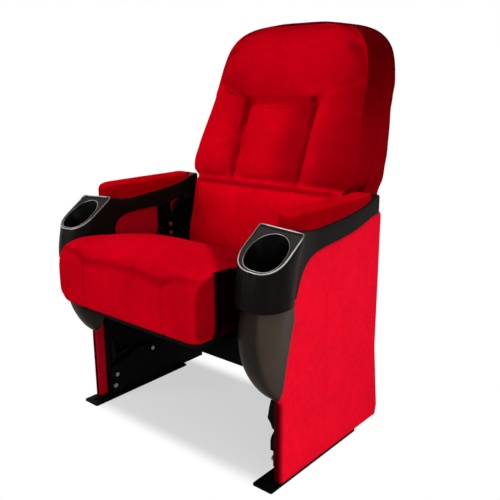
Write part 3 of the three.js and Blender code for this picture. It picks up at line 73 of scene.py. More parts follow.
def toMetres(points):
    # drawing millimetres to packed metres: divide by 1000 after moving along Y
    return (np.asarray(points, float) + [0.0, shiftY, 0.0]) / 1000.0


def toDrawing(points):
    # the way back, for shapes that are worked over after their mesh is made
    return np.asarray(points, float) * 1000.0 - [0.0, shiftY, 0.0]


def mix(a, b, share):
    return a + (b - a) * share


def ease(value, low, high):
    # 0 below low, 1 above high, and a smooth cubic step between them
    t = np.clip((value - low) / (high - low), 0.0, 1.0)
    return t * t * (3 - 2 * t)


def hump(away, width):
    # a bell of height 1 that falls to 0.37 at width
    return np.exp(-((away / width) ** 2))


def smoothTable(at, places, values):
    # monotone cubic through a table: each slope is the weighted harmonic mean of the
    # chords on its two sides, and zero where they turn
    places, values = np.asarray(places, float), np.asarray(values, float)
    width = np.diff(places)
    chord = np.diff(values) / width
    slope = np.zeros(len(places))
    w1, w2 = 2 * width[1:] + width[:-1], width[1:] + 2 * width[:-1]
    same = chord[:-1] * chord[1:] > 0
    safe = np.where(same, chord[:-1], 1.0), np.where(same, chord[1:], 1.0)
    slope[1:-1] = np.where(same, (w1 + w2) / (w1 / safe[0] + w2 / safe[1]), 0.0)
    slope[0], slope[-1] = chord[0], chord[-1]
    at = np.clip(np.asarray(at, float), places[0], places[-1])
    left = np.clip(np.searchsorted(places, at, side="right") - 1, 0, len(width) - 1)
    h = width[left]
    t = (at - places[left]) / h
    return (values[left] * (1 + 2 * t) * (1 - t) ** 2 + slope[left] * h * t * (1 - t) ** 2
            + values[left + 1] * t * t * (3 - 2 * t) + slope[left + 1] * h * t * t * (t - 1))


def lengthsAlong(line):
    return np.concatenate([[0], np.cumsum(np.linalg.norm(np.diff(line, axis=0), axis=1))])


def smoothCurve(corners, count):
    # a smooth open curve through points, evenly spaced along its chords
    corners = np.asarray(corners, float)
    along = lengthsAlong(corners)
    at = np.linspace(0, along[-1], count)
    return np.stack([smoothTable(at, along, column) for column in corners.T], 1)


def ringFaces(rows, columns, closed=True):
    # quads between neighbouring points of one row and the next
    row, column = np.meshgrid(np.arange(rows - 1), np.arange(columns - (not closed)), indexing="ij")
    after = (column + 1) % columns
    return np.stack([row * columns + column, row * columns + after,
                     (row + 1) * columns + after, (row + 1) * columns + column], -1).reshape(-1, 4)


def loftParts(rings):
    # closed rings joined in order, with a fan to a middle point at both ends
    rows, columns = rings.shape[:2]
    ends = rings[[0, -1]].mean(axis=1)
    points = np.concatenate([rings.reshape(-1, 3), ends])
    step = np.arange(columns)
    after = (step + 1) % columns
    last = (rows - 1) * columns
    first = np.stack([np.full(columns, rows * columns), after, step], 1)
    final = np.stack([np.full(columns, rows * columns + 1), last + step, last + after], 1)
    return points, ringFaces(rows, columns).tolist() + first.tolist() + final.tolist()


def newPiece(name, points, faces, materials=(), sharp=35.0):
    mesh = bpy.data.meshes.new(name)
    mesh.from_pydata(toMetres(points).tolist(), [], [list(face) for face in faces])
    obj = bpy.data.objects.new(name, mesh)
    scene.collection.objects.link(obj)
    cleaned(obj)
    for material in materials:
        mesh.materials.append(material)
    shaded(obj, sharp)
    return obj


def cleaned(obj):
    # doubles merged and normals turned outwards
    work = bmesh.new()
    work.from_mesh(obj.data)
    bmesh.ops.remove_doubles(work, verts=work.verts, dist=2e-6)
    bmesh.ops.recalc_face_normals(work, faces=work.faces)
    if work.calc_volume(signed=True) < 0:
        bmesh.ops.reverse_faces(work, faces=work.faces)
    work.to_mesh(obj.data)
    work.free()


def shaded(obj, sharp):
    obj.data.shade_smooth()
    obj.data.set_sharp_from_angle(angle=np.radians(sharp))


def toneOf(obj, values):
    # a tone for every point, mostly painted light and shade, which the piece's material multiplies into its
    # colour
    layer = obj.data.attributes.new("tone", "FLOAT", "POINT")
    layer.data.foreach_set("value", np.asarray(values, np.float32))


def pointsOf(obj):
    flat = np.zeros(len(obj.data.vertices) * 3)
    obj.data.vertices.foreach_get("co", flat)
    return toDrawing(flat.reshape(-1, 3))


def setPoints(obj, points):
    obj.data.vertices.foreach_set("co", toMetres(points).ravel())
    obj.data.update()


def normalsOf(obj):
    flat = np.zeros(len(obj.data.vertices) * 3)
    obj.data.vertex_normals.foreach_get("vector", flat)
    return flat.reshape(-1, 3)


def applied(obj):
    # the object's modifiers made into its mesh
    bpy.context.view_layer.update()
    graph = bpy.context.evaluated_depsgraph_get()
    mesh = bpy.data.meshes.new_from_object(obj.evaluated_get(graph))
    mesh.name = obj.data.name
    obj.modifiers.clear()
    obj.data = mesh
    return obj


def subdivided(obj):
    layer = obj.modifiers.new("smooth", "SUBSURF")
    layer.levels = layer.render_levels = 1
    return applied(obj)


def surfaceOf(obj):
    return pointsOf(obj), normalsOf(obj)


def sunk(obj, depth):
    # every point moved inwards along its normal
    points, normals = surfaceOf(obj)
    setPoints(obj, points - normals * depth[:, None])


def finished(obj, material, sharp):
    # a cut piece: one material, closed seams and smooth faces up to the sharp angle
    obj.data.materials.clear()
    obj.data.materials.append(material)
    cleaned(obj)
    shaded(obj, sharp)
    return obj


def cutBy(obj, *cutters):
    for cutter in cutters:
        layer = obj.modifiers.new("cut", "BOOLEAN")
        layer.operation = "DIFFERENCE"
        layer.solver = "MANIFOLD"
        layer.object = cutter
        applied(obj)
    for cutter in cutters:
        bpy.data.objects.remove(cutter)
    return obj


padding = {
    # the cloth over every cushion, under Blender's own names
    "cloth": {
        "quality": 6, "mass": 0.3, "tension_stiffness": 25, "compression_stiffness": 25,
        "shear_stiffness": 8, "bending_stiffness": 4, "air_damping": 3, "use_pressure": True,
        "uniform_pressure_force": 4.0, "vertex_group_mass": "held",
    },
    "frames": 20,
}


def puffed(obj, held, cap):
    # cloth under air pressure: points where held is 1 stay, others move at most cap mm
    group = obj.vertex_groups.new(name="held")
    for level in np.unique(np.round(held, 1)):
        if level > 0:
            group.add(np.nonzero(np.round(held, 1) == level)[0].tolist(), float(level), "REPLACE")
    cloth = obj.modifiers.new("cloth", "CLOTH")
    for key, value in padding["cloth"].items():
        setattr(cloth.settings, key, value)
    cloth.settings.effector_weights.gravity = 0
    cloth.collision_settings.use_collision = False
    cloth.point_cache.frame_start, cloth.point_cache.frame_end = 1, padding["frames"]
    for number in range(1, padding["frames"] + 1):
        scene.frame_set(number)
    before = pointsOf(obj)
    applied(obj)
    move = pointsOf(obj) - before
    length = np.linalg.norm(move, axis=1, keepdims=True)
    setPoints(obj, before + move * np.minimum(1.0, cap / np.maximum(length, 1e-6)))
    obj.vertex_groups.clear()
    scene.frame_set(1)


def mirroredPiece(obj, name):
    # the same piece on the other side, with its faces turned to point outwards again
    mesh = obj.data.copy()
    mesh.transform(Matrix.Scale(-1, 4, Vector((1, 0, 0))))
    mesh.flip_normals()
    twin = bpy.data.objects.new(name, mesh)
    scene.collection.objects.link(twin)
    return twin


def settle(obj, body, nodes=()):
    if nodes:
        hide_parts(*nodes)
    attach(obj, body)


def settlePair(right, left, replaced=None):
    # replaced is the name, without its side, of the CAD nodes that the two stand for
    for obj, side in ((right, "_right"), (left, "_left")):
        settle(obj, "stand", [replaced + side] if replaced else [])


# Materials
def newMaterial(name):
    material = bpy.data.materials.new(name)
    material.use_nodes = True
    nodes = material.node_tree.nodes
    return material, nodes, material.node_tree.links, nodes["Principled BSDF"]


def textured(nodes, links, kind, scale, **inputs):
    # a texture on the piece's own metres
    place = nodes.new("ShaderNodeTexCoord")
    texture = nodes.new(kind)
    texture.inputs["Scale"].default_value = scale
    for key, value in inputs.items():
        texture.inputs[key].default_value = value
    links.new(place.outputs["Object"], texture.inputs["Vector"])
    return texture


def ramped(nodes, links, source, stops):
    ramp = nodes.new("ShaderNodeValToRGB")
    while len(ramp.color_ramp.elements) < len(stops):
        ramp.color_ramp.elements.new(0.5)
    for element, (position, colour) in zip(ramp.color_ramp.elements, stops):
        element.position = position
        element.color = (*colour, 1)
    links.new(source, ramp.inputs["Fac"])
    return ramp.outputs["Color"]


def bumped(nodes, links, shader, layers):
    # bumps chained one on another: (height socket, strength, distance in metres)
    last = None
    for height, strength, distance in layers:
        bump = nodes.new("ShaderNodeBump")
        bump.inputs["Strength"].default_value = strength
        bump.inputs["Distance"].default_value = distance
        links.new(height, bump.inputs["Height"])
        if last is not None:
            links.new(last, bump.inputs["Normal"])
        last = bump.outputs["Normal"]
    links.new(last, shader.inputs["Normal"])


def multiplied(nodes, links, first, second):
    blend = nodes.new("ShaderNodeMix")
    blend.data_type, blend.blend_type = "RGBA", "MULTIPLY"
    blend.inputs["Factor"].default_value = 1.0
    links.new(first, blend.inputs["A"])
    links.new(second, blend.inputs["B"])
    return blend.outputs["Result"]


def painted(nodes, links, shader, colour, toneShaded):
    # the base colour, multiplied by the piece's tone of painted light and shade where the flag is set
    if toneShaded:
        tone = nodes.new("ShaderNodeAttribute")
        tone.attribute_name = "tone"
        colour = multiplied(nodes, links, colour, tone.outputs["Fac"])
    links.new(colour, shader.inputs["Base Color"])


def setInputs(shader, **values):
    # constants set on the shader's own sockets, with a name's spaces written as underscores
    for key, value in values.items():
        shader.inputs[key.replace("_", " ")].default_value = value


def velour(name, colour, shade=0.86, sheen=0.06, toneShaded=False):
    # short pile: broad patches where the nap lies over, and a fine fuzzy bump
    material, nodes, links, shader = newMaterial(name)
    colour = np.array(colour)
    patches = textured(nodes, links, "ShaderNodeTexNoise", 9.0, Detail=3.0, Roughness=0.55)
    strokes = textured(nodes, links, "ShaderNodeTexNoise", 55.0, Detail=4.0, Roughness=0.6)
    pile = textured(nodes, links, "ShaderNodeTexNoise", 1400.0, Detail=2.0, Roughness=0.7)
    broad = ramped(nodes, links, patches.outputs["Fac"],
                   [(0.3, colour * shade), (0.5, colour), (0.72, np.minimum(colour * 1.08, 1))])
    fine = ramped(nodes, links, strokes.outputs["Fac"], [(0.3, (0.9,) * 3), (0.65, (1.0,) * 3)])
    painted(nodes, links, shader, multiplied(nodes, links, broad, fine), toneShaded)
    setInputs(shader, Roughness=0.95, Specular_IOR_Level=0.0, Sheen_Weight=sheen, Sheen_Roughness=0.4,
              Sheen_Tint=(1.0, 0.02, 0.03, 1))
    bumped(nodes, links, shader, [(strokes.outputs["Fac"], 0.2, 0.001), (pile.outputs["Fac"], 0.5, 0.0005)])
    return material


def moulded(name, colour, roughness=0.4, grain=900.0, coat=0.0, gloss=0.1, toneShaded=False):
    # moulded plastic: spark-eroded grain and faint streaks in its gloss
    material, nodes, links, shader = newMaterial(name)
    colour = np.array(colour)
    cloud = textured(nodes, links, "ShaderNodeTexNoise", 14.0, Detail=4.0)
    speck = textured(nodes, links, "ShaderNodeTexNoise", grain, Detail=2.0)
    tone = ramped(nodes, links, cloud.outputs["Fac"], [(0.3, colour * 0.85), (0.7, colour * 1.2)])
    painted(nodes, links, shader, tone, toneShaded)
    span = nodes.new("ShaderNodeMapRange")
    span.inputs["To Min"].default_value = roughness - 0.05
    span.inputs["To Max"].default_value = roughness + 0.06
    links.new(cloud.outputs["Fac"], span.inputs["Value"])
    links.new(span.outputs["Result"], shader.inputs["Roughness"])
    setInputs(shader, Specular_IOR_Level=gloss, Coat_Weight=coat, Coat_Roughness=0.12)
    bumped(nodes, links, shader, [(speck.outputs["Fac"], 0.18, 0.0003)])
    return material


def plated(name, colour, roughness):
    # bare metal with faint clouds in its plating
    material, nodes, links, shader = newMaterial(name)
    colour = np.array(colour)
    cloud = textured(nodes, links, "ShaderNodeTexNoise", 120.0, Detail=3.0)
    tone = ramped(nodes, links, cloud.outputs["Fac"], [(0.3, colour * 0.8), (0.7, colour)])
    links.new(tone, shader.inputs["Base Color"])
    setInputs(shader, Metallic=1.0, Roughness=roughness)
    bumped(nodes, links, shader, [(cloud.outputs["Fac"], 0.1, 0.0003)])
    return material


def plywood(name):
    # grain stretched along the board
    material, nodes, links, shader = newMaterial(name)
    place = nodes.new("ShaderNodeTexCoord")
    stretch = nodes.new("ShaderNodeMapping")
    stretch.inputs["Scale"].default_value = (6.0, 60.0, 60.0)
    grain = nodes.new("ShaderNodeTexNoise")
    grain.inputs["Scale"].default_value = 4.0
    grain.inputs["Detail"].default_value = 6.0
    links.new(place.outputs["Object"], stretch.inputs["Vector"])
    links.new(stretch.outputs["Vector"], grain.inputs["Vector"])
    tone = ramped(nodes, links, grain.outputs["Fac"],
                  [(0.3, (0.3, 0.18, 0.09)), (0.6, (0.46, 0.31, 0.17)), (0.8, (0.52, 0.37, 0.22))])
    links.new(tone, shader.inputs["Base Color"])
    shader.inputs["Roughness"].default_value = 0.7
    bumped(nodes, links, shader, [(grain.outputs["Fac"], 0.2, 0.0004)])
    return material


finish = {
    # one velour in lit and shaded copies, as painted light: the side panel's lighter as lit from the right,
    # and the seat's, back's and pad's base colours matched to their own light
    "redVelour": velour("red_velour", (0.6, 0.0003, 0.009)),
    "seatVelour": velour("seat_velour", (0.6, 0.0003, 0.009), toneShaded=True),
    "backVelour": velour("back_velour", (0.7, 0.0003, 0.009), toneShaded=True),
    "panelLitVelour": velour("panel_velour_lit", (0.93, 0.005, 0.026), shade=0.94, sheen=0.1, toneShaded=True),
    "padVelour": velour("pad_velour", (0.5, 0.0003, 0.005), toneShaded=True),
    "armPlastic": moulded("arm_plastic", (0.03, 0.025, 0.021), 0.36, gloss=0.03, toneShaded=True),
    # painted highlight: the rim beads' light grey stands in for the gloss on the black moulding's rounded
    # edges
    "rimHighlightPlastic": moulded("rim_highlight_plastic", (0.42, 0.39, 0.36), 0.2, coat=0.6, gloss=0.4, toneShaded=True),
    "shellPlastic": moulded("shell_plastic", (0.045, 0.032, 0.023), 0.42, gloss=0.05, toneShaded=True),
    "coverPlastic": moulded("cover_plastic", (0.008, 0.008, 0.0085), 0.5, grain=500.0),
    "standPaint": moulded("stand_paint", (0.0016, 0.0014, 0.0014), 0.5, grain=1600.0, gloss=0.02),
    "zinc": plated("zinc_plate", (0.72, 0.72, 0.7), 0.28),
    # painted shade: a darker copy of the zinc for the fixings that sit in shade under the seat and behind the
    # back
    "shadedZinc": plated("zinc_shaded", (0.2, 0.2, 0.18), 0.38),
    "springSteel": plated("spring_steel", (0.5, 0.5, 0.5), 0.3),
    "rubber": moulded("buffer_rubber", (0.018, 0.018, 0.018), 0.8, grain=300.0),
    "nylon": moulded("bush_nylon", (0.62, 0.6, 0.54), 0.45, grain=700.0),
    "board": plywood("plywood"),
}
byPrefix = [
    (("foot_plate", "stand_frame", "leg_brace", "back_bracket", "pivot_housing", "seat_arm", "rear_panel",
      "seat_pan"), "standPaint"),
    (("pivot_pin", "post_bolt"), "zinc"),
    (("spring_anchor", "brace_bolt", "back_bolt", "pan_screw"), "shadedZinc"),
    (("return_spring",), "springSteel"),
    (("seat_down_buffer", "seat_up_buffer"), "rubber"),
    (("pivot_bush",), "nylon"),
    (("back_board",), "board"),
    (("arm_body", "cup_shell", "back_cover"), "coverPlastic"),
    (("side_panel", "arm_pad", "back_cushion", "back_shell", "seat_cushion"), "redVelour"),
]
for prefixes, key in byPrefix:
    for nodeName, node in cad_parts.items():
        if nodeName.startswith(prefixes):
            for materialSlot in node.material_slots:
                materialSlot.material = finish[key]
print("materials set on", len(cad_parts), "frame nodes")


# Shared outlines of the arms and panels
arms = {
    "railRise": 38.0, "cupCentreX": 301.0, "cupHalfWidth": 58.5, "cupReach": 100.0,
    "cupSlope": 0.7, "cupTilt": 0.06, "tiltDepth": 60.0, "tiltFade": 44.0,
    "cupNoseLength": 52.0, "cupNosePower": 2.5, "collarSideReach": 42.0,
    "collarSwell": 13.0, "railInnerX": 272.0, "railOuterX": 330.0, "edgeRadius": 5.0, "lowerRadius": 0.8,
    "wall": 3.0, "wellRadius": 41.0, "wellFloorRadius": 35.0, "wellDepth": 137.0,
    "wellSetback": 52.0, "mouthShift": 2.5, "mouthFlare": 5.0, "mouthDepth": 45.0,
    "mouthPower": 2.7, "rimWidth": 4.0, "rimHeight": 1.4, "rimBead": 1.5, "mouthBead": 0.9, "rimCorner": 9.0,
    "ridgeBeadMove": (0.0, 1.5, 2.2),
    # how light the moulding is, with painted shade in the well and painted light on the right and left plates
    # round it
    "restTone": 0.15, "wellShade": 0.04, "plateLights": (0.7, 0.35), "plateMargin": 2.5, "plateSlack": 0.35,
    # dark and lit tones of the mouth and rim beads' painted highlights
    "mouthBeadHighlight": (0.015, 0.615), "rimBeadHighlight": (0.1, 1.0),
    "panelInnerX": 307.3, "panelOuterX": 327.3, "panelTopZ": 548.0, "panelBottomZ": 5.3,
}
railAlong = [0.0, 0.04, 0.098, 0.179, 0.256, 0.357, 0.444, 0.53, 0.622, 0.72, 0.821, 0.925, 1.0]
railInner = [0.8, 0.72, 0.54, 0.32, 0.15, 0.03, 0, 0, 0, 0, 0, 0, 0]
railOuter = [0.62, 0.4, 0.2, 0.06, 0, 0, 0, 0, 0, 0, 0, 0, 0]
railLift = [0.4, 0.3, 0.17, 0.03, 0.0, 0.05, 0.1, 0.16, 0.26, 0.37, 0.55, 0.86, 1.0]
panelEdgeShares = [
    (-0.0917, 0.386), (-0.0772, 0.488), (-0.0471, 0.599), (-0.006, 0.702), (0.0326, 0.765),
    (0.0592, 0.821), (0.1062, 0.872), (0.204, 0.911), (0.3223, 0.926), (0.4551, 0.933),
    (0.6036, 0.944), (0.7219, 0.956), (0.8402, 0.976), (0.9585, 0.994), (1.0478, 1.0),
]
windowShares = [
    (0.0385, -0.07), (0.0385, 0.493), (0.0651, 0.612), (0.1124, 0.671), (0.1834, 0.709),
    (0.3373, 0.724), (0.5148, 0.731),
]
ridgeY, ridgeZ = drawing["cupRidgeY"], drawing["cupRidgeZ"]
noseY = ridgeY - arms["cupReach"]
railRearY = ridgeY + drawing["armLength"]
cupIn, cupOut = arms["cupCentreX"] - arms["cupHalfWidth"], arms["cupCentreX"] + arms["cupHalfWidth"]


def panelPlace(shares):
    shares = np.asarray(shares, float)
    return np.stack([ridgeY + drawing["armLength"] * shares[:, 0],
                     mix(arms["panelBottomZ"], arms["panelTopZ"], shares[:, 1])], 1)


def tangentsOf(path, closed):
    around = np.roll(path, -1, axis=0) - np.roll(path, 1, axis=0)
    tangent = around if closed else np.gradient(path, axis=0)
    return tangent / np.linalg.norm(tangent, axis=1, keepdims=True)


def offsetCurve(curve, distance, closed=False):
    # every point moved to the left of its tangent
    tangent = tangentsOf(curve, closed)
    return curve + distance * np.stack([-tangent[:, 1], tangent[:, 0]], 1)


def prismPiece(name, outline, x0, x1):
    # an outline in Y and Z carried from x0 to x1, with both ends closed
    outline = np.asarray(outline, float)
    count = len(outline)
    points = np.concatenate([np.column_stack([np.full(count, x), outline]) for x in (x0, x1)])
    faces = ringFaces(2, count).tolist()
    faces += [list(range(count - 1, -1, -1)), list(range(count, 2 * count))]
    return newPiece(name, points, faces)


def boxPiece(name, x0, x1, y0, y1, z0, z1):
    return prismPiece(name, [(y0, z0), (y1, z0), (y1, z1), (y0, z1)], x0, x1)


def behindPanelEdge(name, distance):
    # all that lies behind the panel's front and top edge, grown by distance
    edge = offsetCurve(smoothCurve(panelPlace(panelEdgeShares), 140), distance)
    rear = edge[-1, 0] + 60
    closing = [(rear, edge[-1, 1]), (rear, -20), (edge[0, 0], -20)]
    return prismPiece(name, np.concatenate([edge, closing])[::-1], 100, 400)


def armTopZ(y):
    # straight slope over the cup, a curved rail behind the ridge
    along = (y - ridgeY) / drawing["armLength"]
    rail = drawing["railTopZ"] + arms["railRise"] * smoothTable(along, railAlong, railLift)
    return np.where(y < ridgeY, ridgeZ + arms["cupSlope"] * (y - ridgeY), rail)


def armSides(y):
    # rounded nose in front (a superellipse), then the flare of the rail
    start = noseY + arms["cupNoseLength"]
    into = np.clip((start - y) / arms["cupNoseLength"], 0, 1)
    nose = (1 - into ** arms["cupNosePower"]) ** (1 / arms["cupNosePower"])
    shoulder = np.clip((ridgeY - y) / (arms["edgeRadius"] * 2), 0, 1)
    full = np.sqrt(1 - (1 - shoulder) ** 2)
    along = (y - ridgeY) / drawing["armLength"]
    inner = smoothTable(along, railAlong, railInner)
    outer = smoothTable(along, railAlong, railOuter)
    railIn = mix(arms["railInnerX"], cupIn, inner)
    railOut = mix(arms["railOuterX"], cupOut, outer)
    centre, half = arms["cupCentreX"], arms["cupHalfWidth"]
    halfIn = mix(centre - mix(arms["railInnerX"], cupIn, railInner[0]), half, full)
    halfOut = mix(mix(arms["railOuterX"], cupOut, railOuter[0]) - centre, half, full)
    front = y < ridgeY
    return (np.where(front, centre - halfIn * nose, railIn),
            np.where(front, centre + halfOut * nose, railOut))


def sectionRings(y, x0, x1, z0, z1, topRadius, bottomRadius, lean=0.0, steps=7, flat=8):
    # a rounded rectangle at each y, with the same points on every one; the outer side
    # leans in by lean at its foot
    y, x0, x1, z0, z1, topRadius, bottomRadius, lean = np.broadcast_arrays(
        *[np.asarray(value, float) for value in (y, x0, x1, z0, z1, topRadius, bottomRadius, lean)])
    limit = np.minimum(x1 - x0, z1 - z0) * 0.48
    top, bottom = np.minimum(topRadius, limit), np.minimum(bottomRadius, limit)
    corners = [(x1, z0, bottom, -0.5), (x1, z1, top, 0.0), (x0, z1, top, 0.5), (x0, z0, bottom, 1.0)]
    signs = [(-1, 1), (-1, -1), (1, -1), (1, 1)]
    angle = np.linspace(0, 0.5, steps)
    arcs = []
    for (x, z, radius, start), (sx, sz) in zip(corners, signs):
        turn = np.pi * (start + angle)[None, :]
        centre = (x + sx * radius)[:, None], (z + sz * radius)[:, None]
        arcs.append(np.stack([centre[0] + radius[:, None] * np.cos(turn),
                              centre[1] + radius[:, None] * np.sin(turn)], -1))
    parts = []
    for index, arc in enumerate(arcs):
        after = arcs[(index + 1) % 4][:, :1]
        share = np.linspace(0, 1, flat + 2)[1:-1][None, :, None]
        parts += [arc, mix(arc[:, -1:], after, share)]
    ring = np.concatenate(parts, 1)
    leaning = (ring[..., 0] > ((x0 + x1) / 2)[:, None]) * lean[:, None]
    leaning = leaning * (z1[:, None] - ring[..., 1]) / (z1 - z0)[:, None]
    return np.stack([ring[..., 0] - leaning, np.broadcast_to(y[:, None], ring.shape[:2]), ring[..., 1]], -1)


def armSolid(name, wall):
    # the moulding's outside, or with a wall the hollow that is cut out of it
    nose = 1 - np.cos(np.linspace(0.12, np.pi / 2, 22))
    shoulders = ridgeY - arms["edgeRadius"] * np.array([6, 4, 3, 2, 1.5, 1, 0.7, 0.4, 0.15])
    rail = np.linspace(ridgeY, railRearY - wall, 70)
    y = np.concatenate([noseY + wall + (arms["cupNoseLength"] - wall) * nose, shoulders, rail])
    outerY = np.where(y < ridgeY, np.maximum(y - wall, noseY + wall * 0.4), y) if wall else y
    x0, x1 = armSides(outerY)
    topZ = armTopZ(y) - wall * 1.3
    bottomZ = drawing["collarLipZ"] - (openEnd if wall else 0.0)
    sideY = ridgeY - arms["collarSideReach"]
    into = np.clip((y - sideY) / (ridgeY - sideY), 0, 1)
    wanted = np.maximum((armSides(y)[1] - arms["panelOuterX"] - arms["wall"]) * into ** 1.5, 0)
    lean = wanted * (topZ - bottomZ) / (topZ - drawing["collarLipZ"])
    radius = max(arms["edgeRadius"] - wall, arms["lowerRadius"])
    rings = sectionRings(y, x0 + wall, x1 - wall, bottomZ, topZ, radius, arms["lowerRadius"], lean)
    if not wall:
        # the collar swells forward towards its lip
        start = noseY + arms["cupNoseLength"]
        fall = armTopZ(np.array(noseY)) - drawing["collarLipZ"]
        ahead = np.clip((start - rings[..., 1]) / arms["cupNoseLength"], 0, 1)
        down = np.clip(1 - (rings[..., 2] - drawing["collarLipZ"]) / fall, 0, 1)
        rings[..., 1] -= arms["collarSwell"] * ahead * np.sin(down * np.pi / 2)
    return newPiece(name, *loftParts(rings))


def cupOutline(distance):
    # the outline of the sloping cup plate in plan, drawn in by distance
    share = 1 - np.cos(np.linspace(0.1, np.pi / 2, 26))
    y = np.concatenate([noseY + arms["cupNoseLength"] * share,
                        np.linspace(noseY + arms["cupNoseLength"] + 6, ridgeY - arms["rimCorner"] - 3, 8)])
    x0, x1 = armSides(np.minimum(y, ridgeY - arms["edgeRadius"] * 2))
    corner = arms["rimCorner"]
    turn = np.linspace(0.1, np.pi / 2 - 0.1, 7)
    around = np.stack([np.cos(turn), np.sin(turn)], 1)
    cornerOut = np.array([cupOut - corner, ridgeY - corner]) + corner * around
    cornerIn = np.stack([cupIn + corner - corner * np.sin(turn), ridgeY - corner + corner * np.cos(turn)], 1)
    ridge = np.stack([np.linspace(cupOut - corner - 4, cupIn + corner + 4, 9), np.full(9, ridgeY)], 1)
    outline = np.concatenate([np.stack([x1, y], 1), cornerOut, ridge, cornerIn, np.stack([x0, y], 1)[::-1]])
    return offsetCurve(outline, distance, closed=True)


def plateZ(y):
    return ridgeZ + arms["cupSlope"] * (y - ridgeY)


def tubeAlong(path, radius, reference, closed=False, sides=10):
    # a round section carried along a path: side = tangent x reference, up = side x tangent
    tangent = tangentsOf(path, closed)
    side = np.cross(tangent, reference)
    side /= np.linalg.norm(side, axis=1, keepdims=True)
    up = np.cross(side, tangent)
    angle = np.linspace(0, 2 * np.pi, sides, endpoint=False)
    rings = (path[:, None] + np.cos(angle)[None, :, None] * side[:, None] * radius
             + np.sin(angle)[None, :, None] * up[:, None] * radius)
    if not closed:
        return loftParts(rings)
    looped = np.concatenate([rings, rings[:1]])
    return looped.reshape(-1, 3), ringFaces(len(looped), sides).tolist()


# Arm bodies: lofted outside, with the hollow, the well, the window and the rim cut out
standInner, standOuter = drawing["standInnerX"], drawing["standInnerX"] + drawing["standDepth"]
gap = drawing["seatGap"]
wellY = ridgeY - arms["wellSetback"]
wellFloorZ = ridgeZ - arms["wellDepth"]
postFrontY, postWidth = ridgeY + drawing["postSetback"], drawing["postWidth"]
postTopZ, standTopZ = drawing["postTopZ"], drawing["standTopZ"]
openEnd = 30.0   # how far a cutter runs on past the face that it opens
mouthDown = [1.0, 0.6, 0.3, 0.15, 0.05, 0.0]   # depth below the mouth
mouthOpen = [0.0, 0.2, 0.5, 0.72, 0.92, 1.0]   # how far the well has opened out there


def tilted(obj):
    # the cup holder's top falls a little from its inner to its outer side
    points = pointsOf(obj)
    near = np.clip(1 - (armTopZ(points[:, 1]) - points[:, 2]) / arms["tiltDepth"], 0, 1)
    front = np.clip((ridgeY + arms["tiltFade"] - points[:, 1]) / arms["tiltFade"], 0, 1)
    points[:, 2] -= arms["cupTilt"] * (points[:, 0] - cupIn) * near * front
    setPoints(obj, points)
    return obj


def wellRing(opened, radius, wall, drop=0.0, steps=96):
    # an ellipse behind and a superellipse in front, which both become a circle deep down
    angle = np.linspace(0, 2 * np.pi, steps, endpoint=False)
    across, along = np.cos(angle), np.sin(angle)
    power = np.where(along < 0, 2 / mix(2, arms["mouthPower"], opened), 1.0)
    halfWidth = mix(radius, arms["wellRadius"] + arms["mouthFlare"], opened) + wall
    halfLength = mix(radius, arms["wellRadius"], opened) + wall
    x = arms["cupCentreX"] + arms["mouthShift"] * opened
    x = x + halfWidth * np.sign(across) * np.abs(across) ** power
    y = wellY + halfLength * np.sign(along) * np.abs(along) ** power
    return np.stack([x, y, plateZ(y) - drop], 1)


def wellPiece(name, wall):
    upper = mix(arms["wellRadius"], arms["wellFloorRadius"], 0.3)
    floor = wellRing(0, arms["wellFloorRadius"], wall)
    floor[:, 2] = wellFloorZ - wall
    rings = [wellRing(opened, upper, wall, arms["mouthDepth"] * down)
             for down, opened in zip(mouthDown, mouthOpen)]
    above = rings[-1] + [0, 0, openEnd]
    return newPiece(name, *loftParts(np.stack([floor, *rings, above])))


def armBody(name):
    body = armSolid(name, 0)
    hollow = armSolid("hollow", arms["wall"])
    sleeve = wellPiece("sleeve", arms["wall"])
    cutBy(hollow, sleeve, behindPanelEdge("edgeWall", gap + arms["wall"]))
    legRoom = boxPiece("legRoom", standInner - gap, standOuter + gap * 2, drawing["standFrontY"] - gap,
                       postFrontY, drawing["collarLipZ"] - openEnd, standTopZ + gap)
    postHole = boxPiece("postHole", standInner - gap, standOuter + gap, postFrontY - gap * 2,
                        postFrontY + postWidth + gap * 2, arms["panelTopZ"] - 90, postTopZ + gap)
    window = np.array([(ridgeY + drawing["armLength"] * along,
                        mix(drawing["collarLipZ"], drawing["railTopZ"], up)) for along, up in windowShares])
    curve = np.concatenate([window[:1], smoothCurve(window[1:], 40)])
    curve = np.concatenate([curve, [(postFrontY, curve[-1, 1]), (postFrontY, curve[0, 1])]])
    windowCut = prismPiece("windowCut", curve[::-1], 150, arms["panelInnerX"] - gap)
    well = wellPiece("well", 0.0)
    outline = cupOutline(arms["rimWidth"])
    floorZ = plateZ(outline[:, 1]) - arms["rimHeight"]
    recess = newPiece("recess", *loftParts(np.stack([np.column_stack([outline, floorZ]),
                                                     np.column_stack([outline, floorZ + 40])])))
    edge = behindPanelEdge("edge", gap)
    return tilted(cutBy(body, edge, hollow, legRoom, windowCut, well, recess, postHole))


def armTones(obj, plate):
    # painted light and shade: the plate round the cup lighter than the rest, and the well in it black
    points = pointsOf(obj)
    x, y, z = np.abs(points[:, 0]), points[:, 1], points[:, 2]
    below = plateZ(y) - arms["cupTilt"] * (x - cupIn) - z
    x0, x1 = armSides(y)
    margin, slack = arms["plateMargin"], arms["plateSlack"]
    inside = (x > x0 + margin) & (x < x1 - margin) & (y < ridgeY - 2)
    onPlate = inside & (np.abs(below - arms["rimHeight"]) < slack)
    away = np.hypot((x - arms["cupCentreX"] - arms["mouthShift"]) / (arms["wellRadius"] + arms["mouthFlare"]),
                    (y - wellY) / arms["wellRadius"])
    inWell = (away < 1.02) & (below > arms["rimHeight"] + slack)
    toneOf(obj, np.where(onPlate, plate, np.where(inWell, arms["wellShade"], arms["restTone"])))


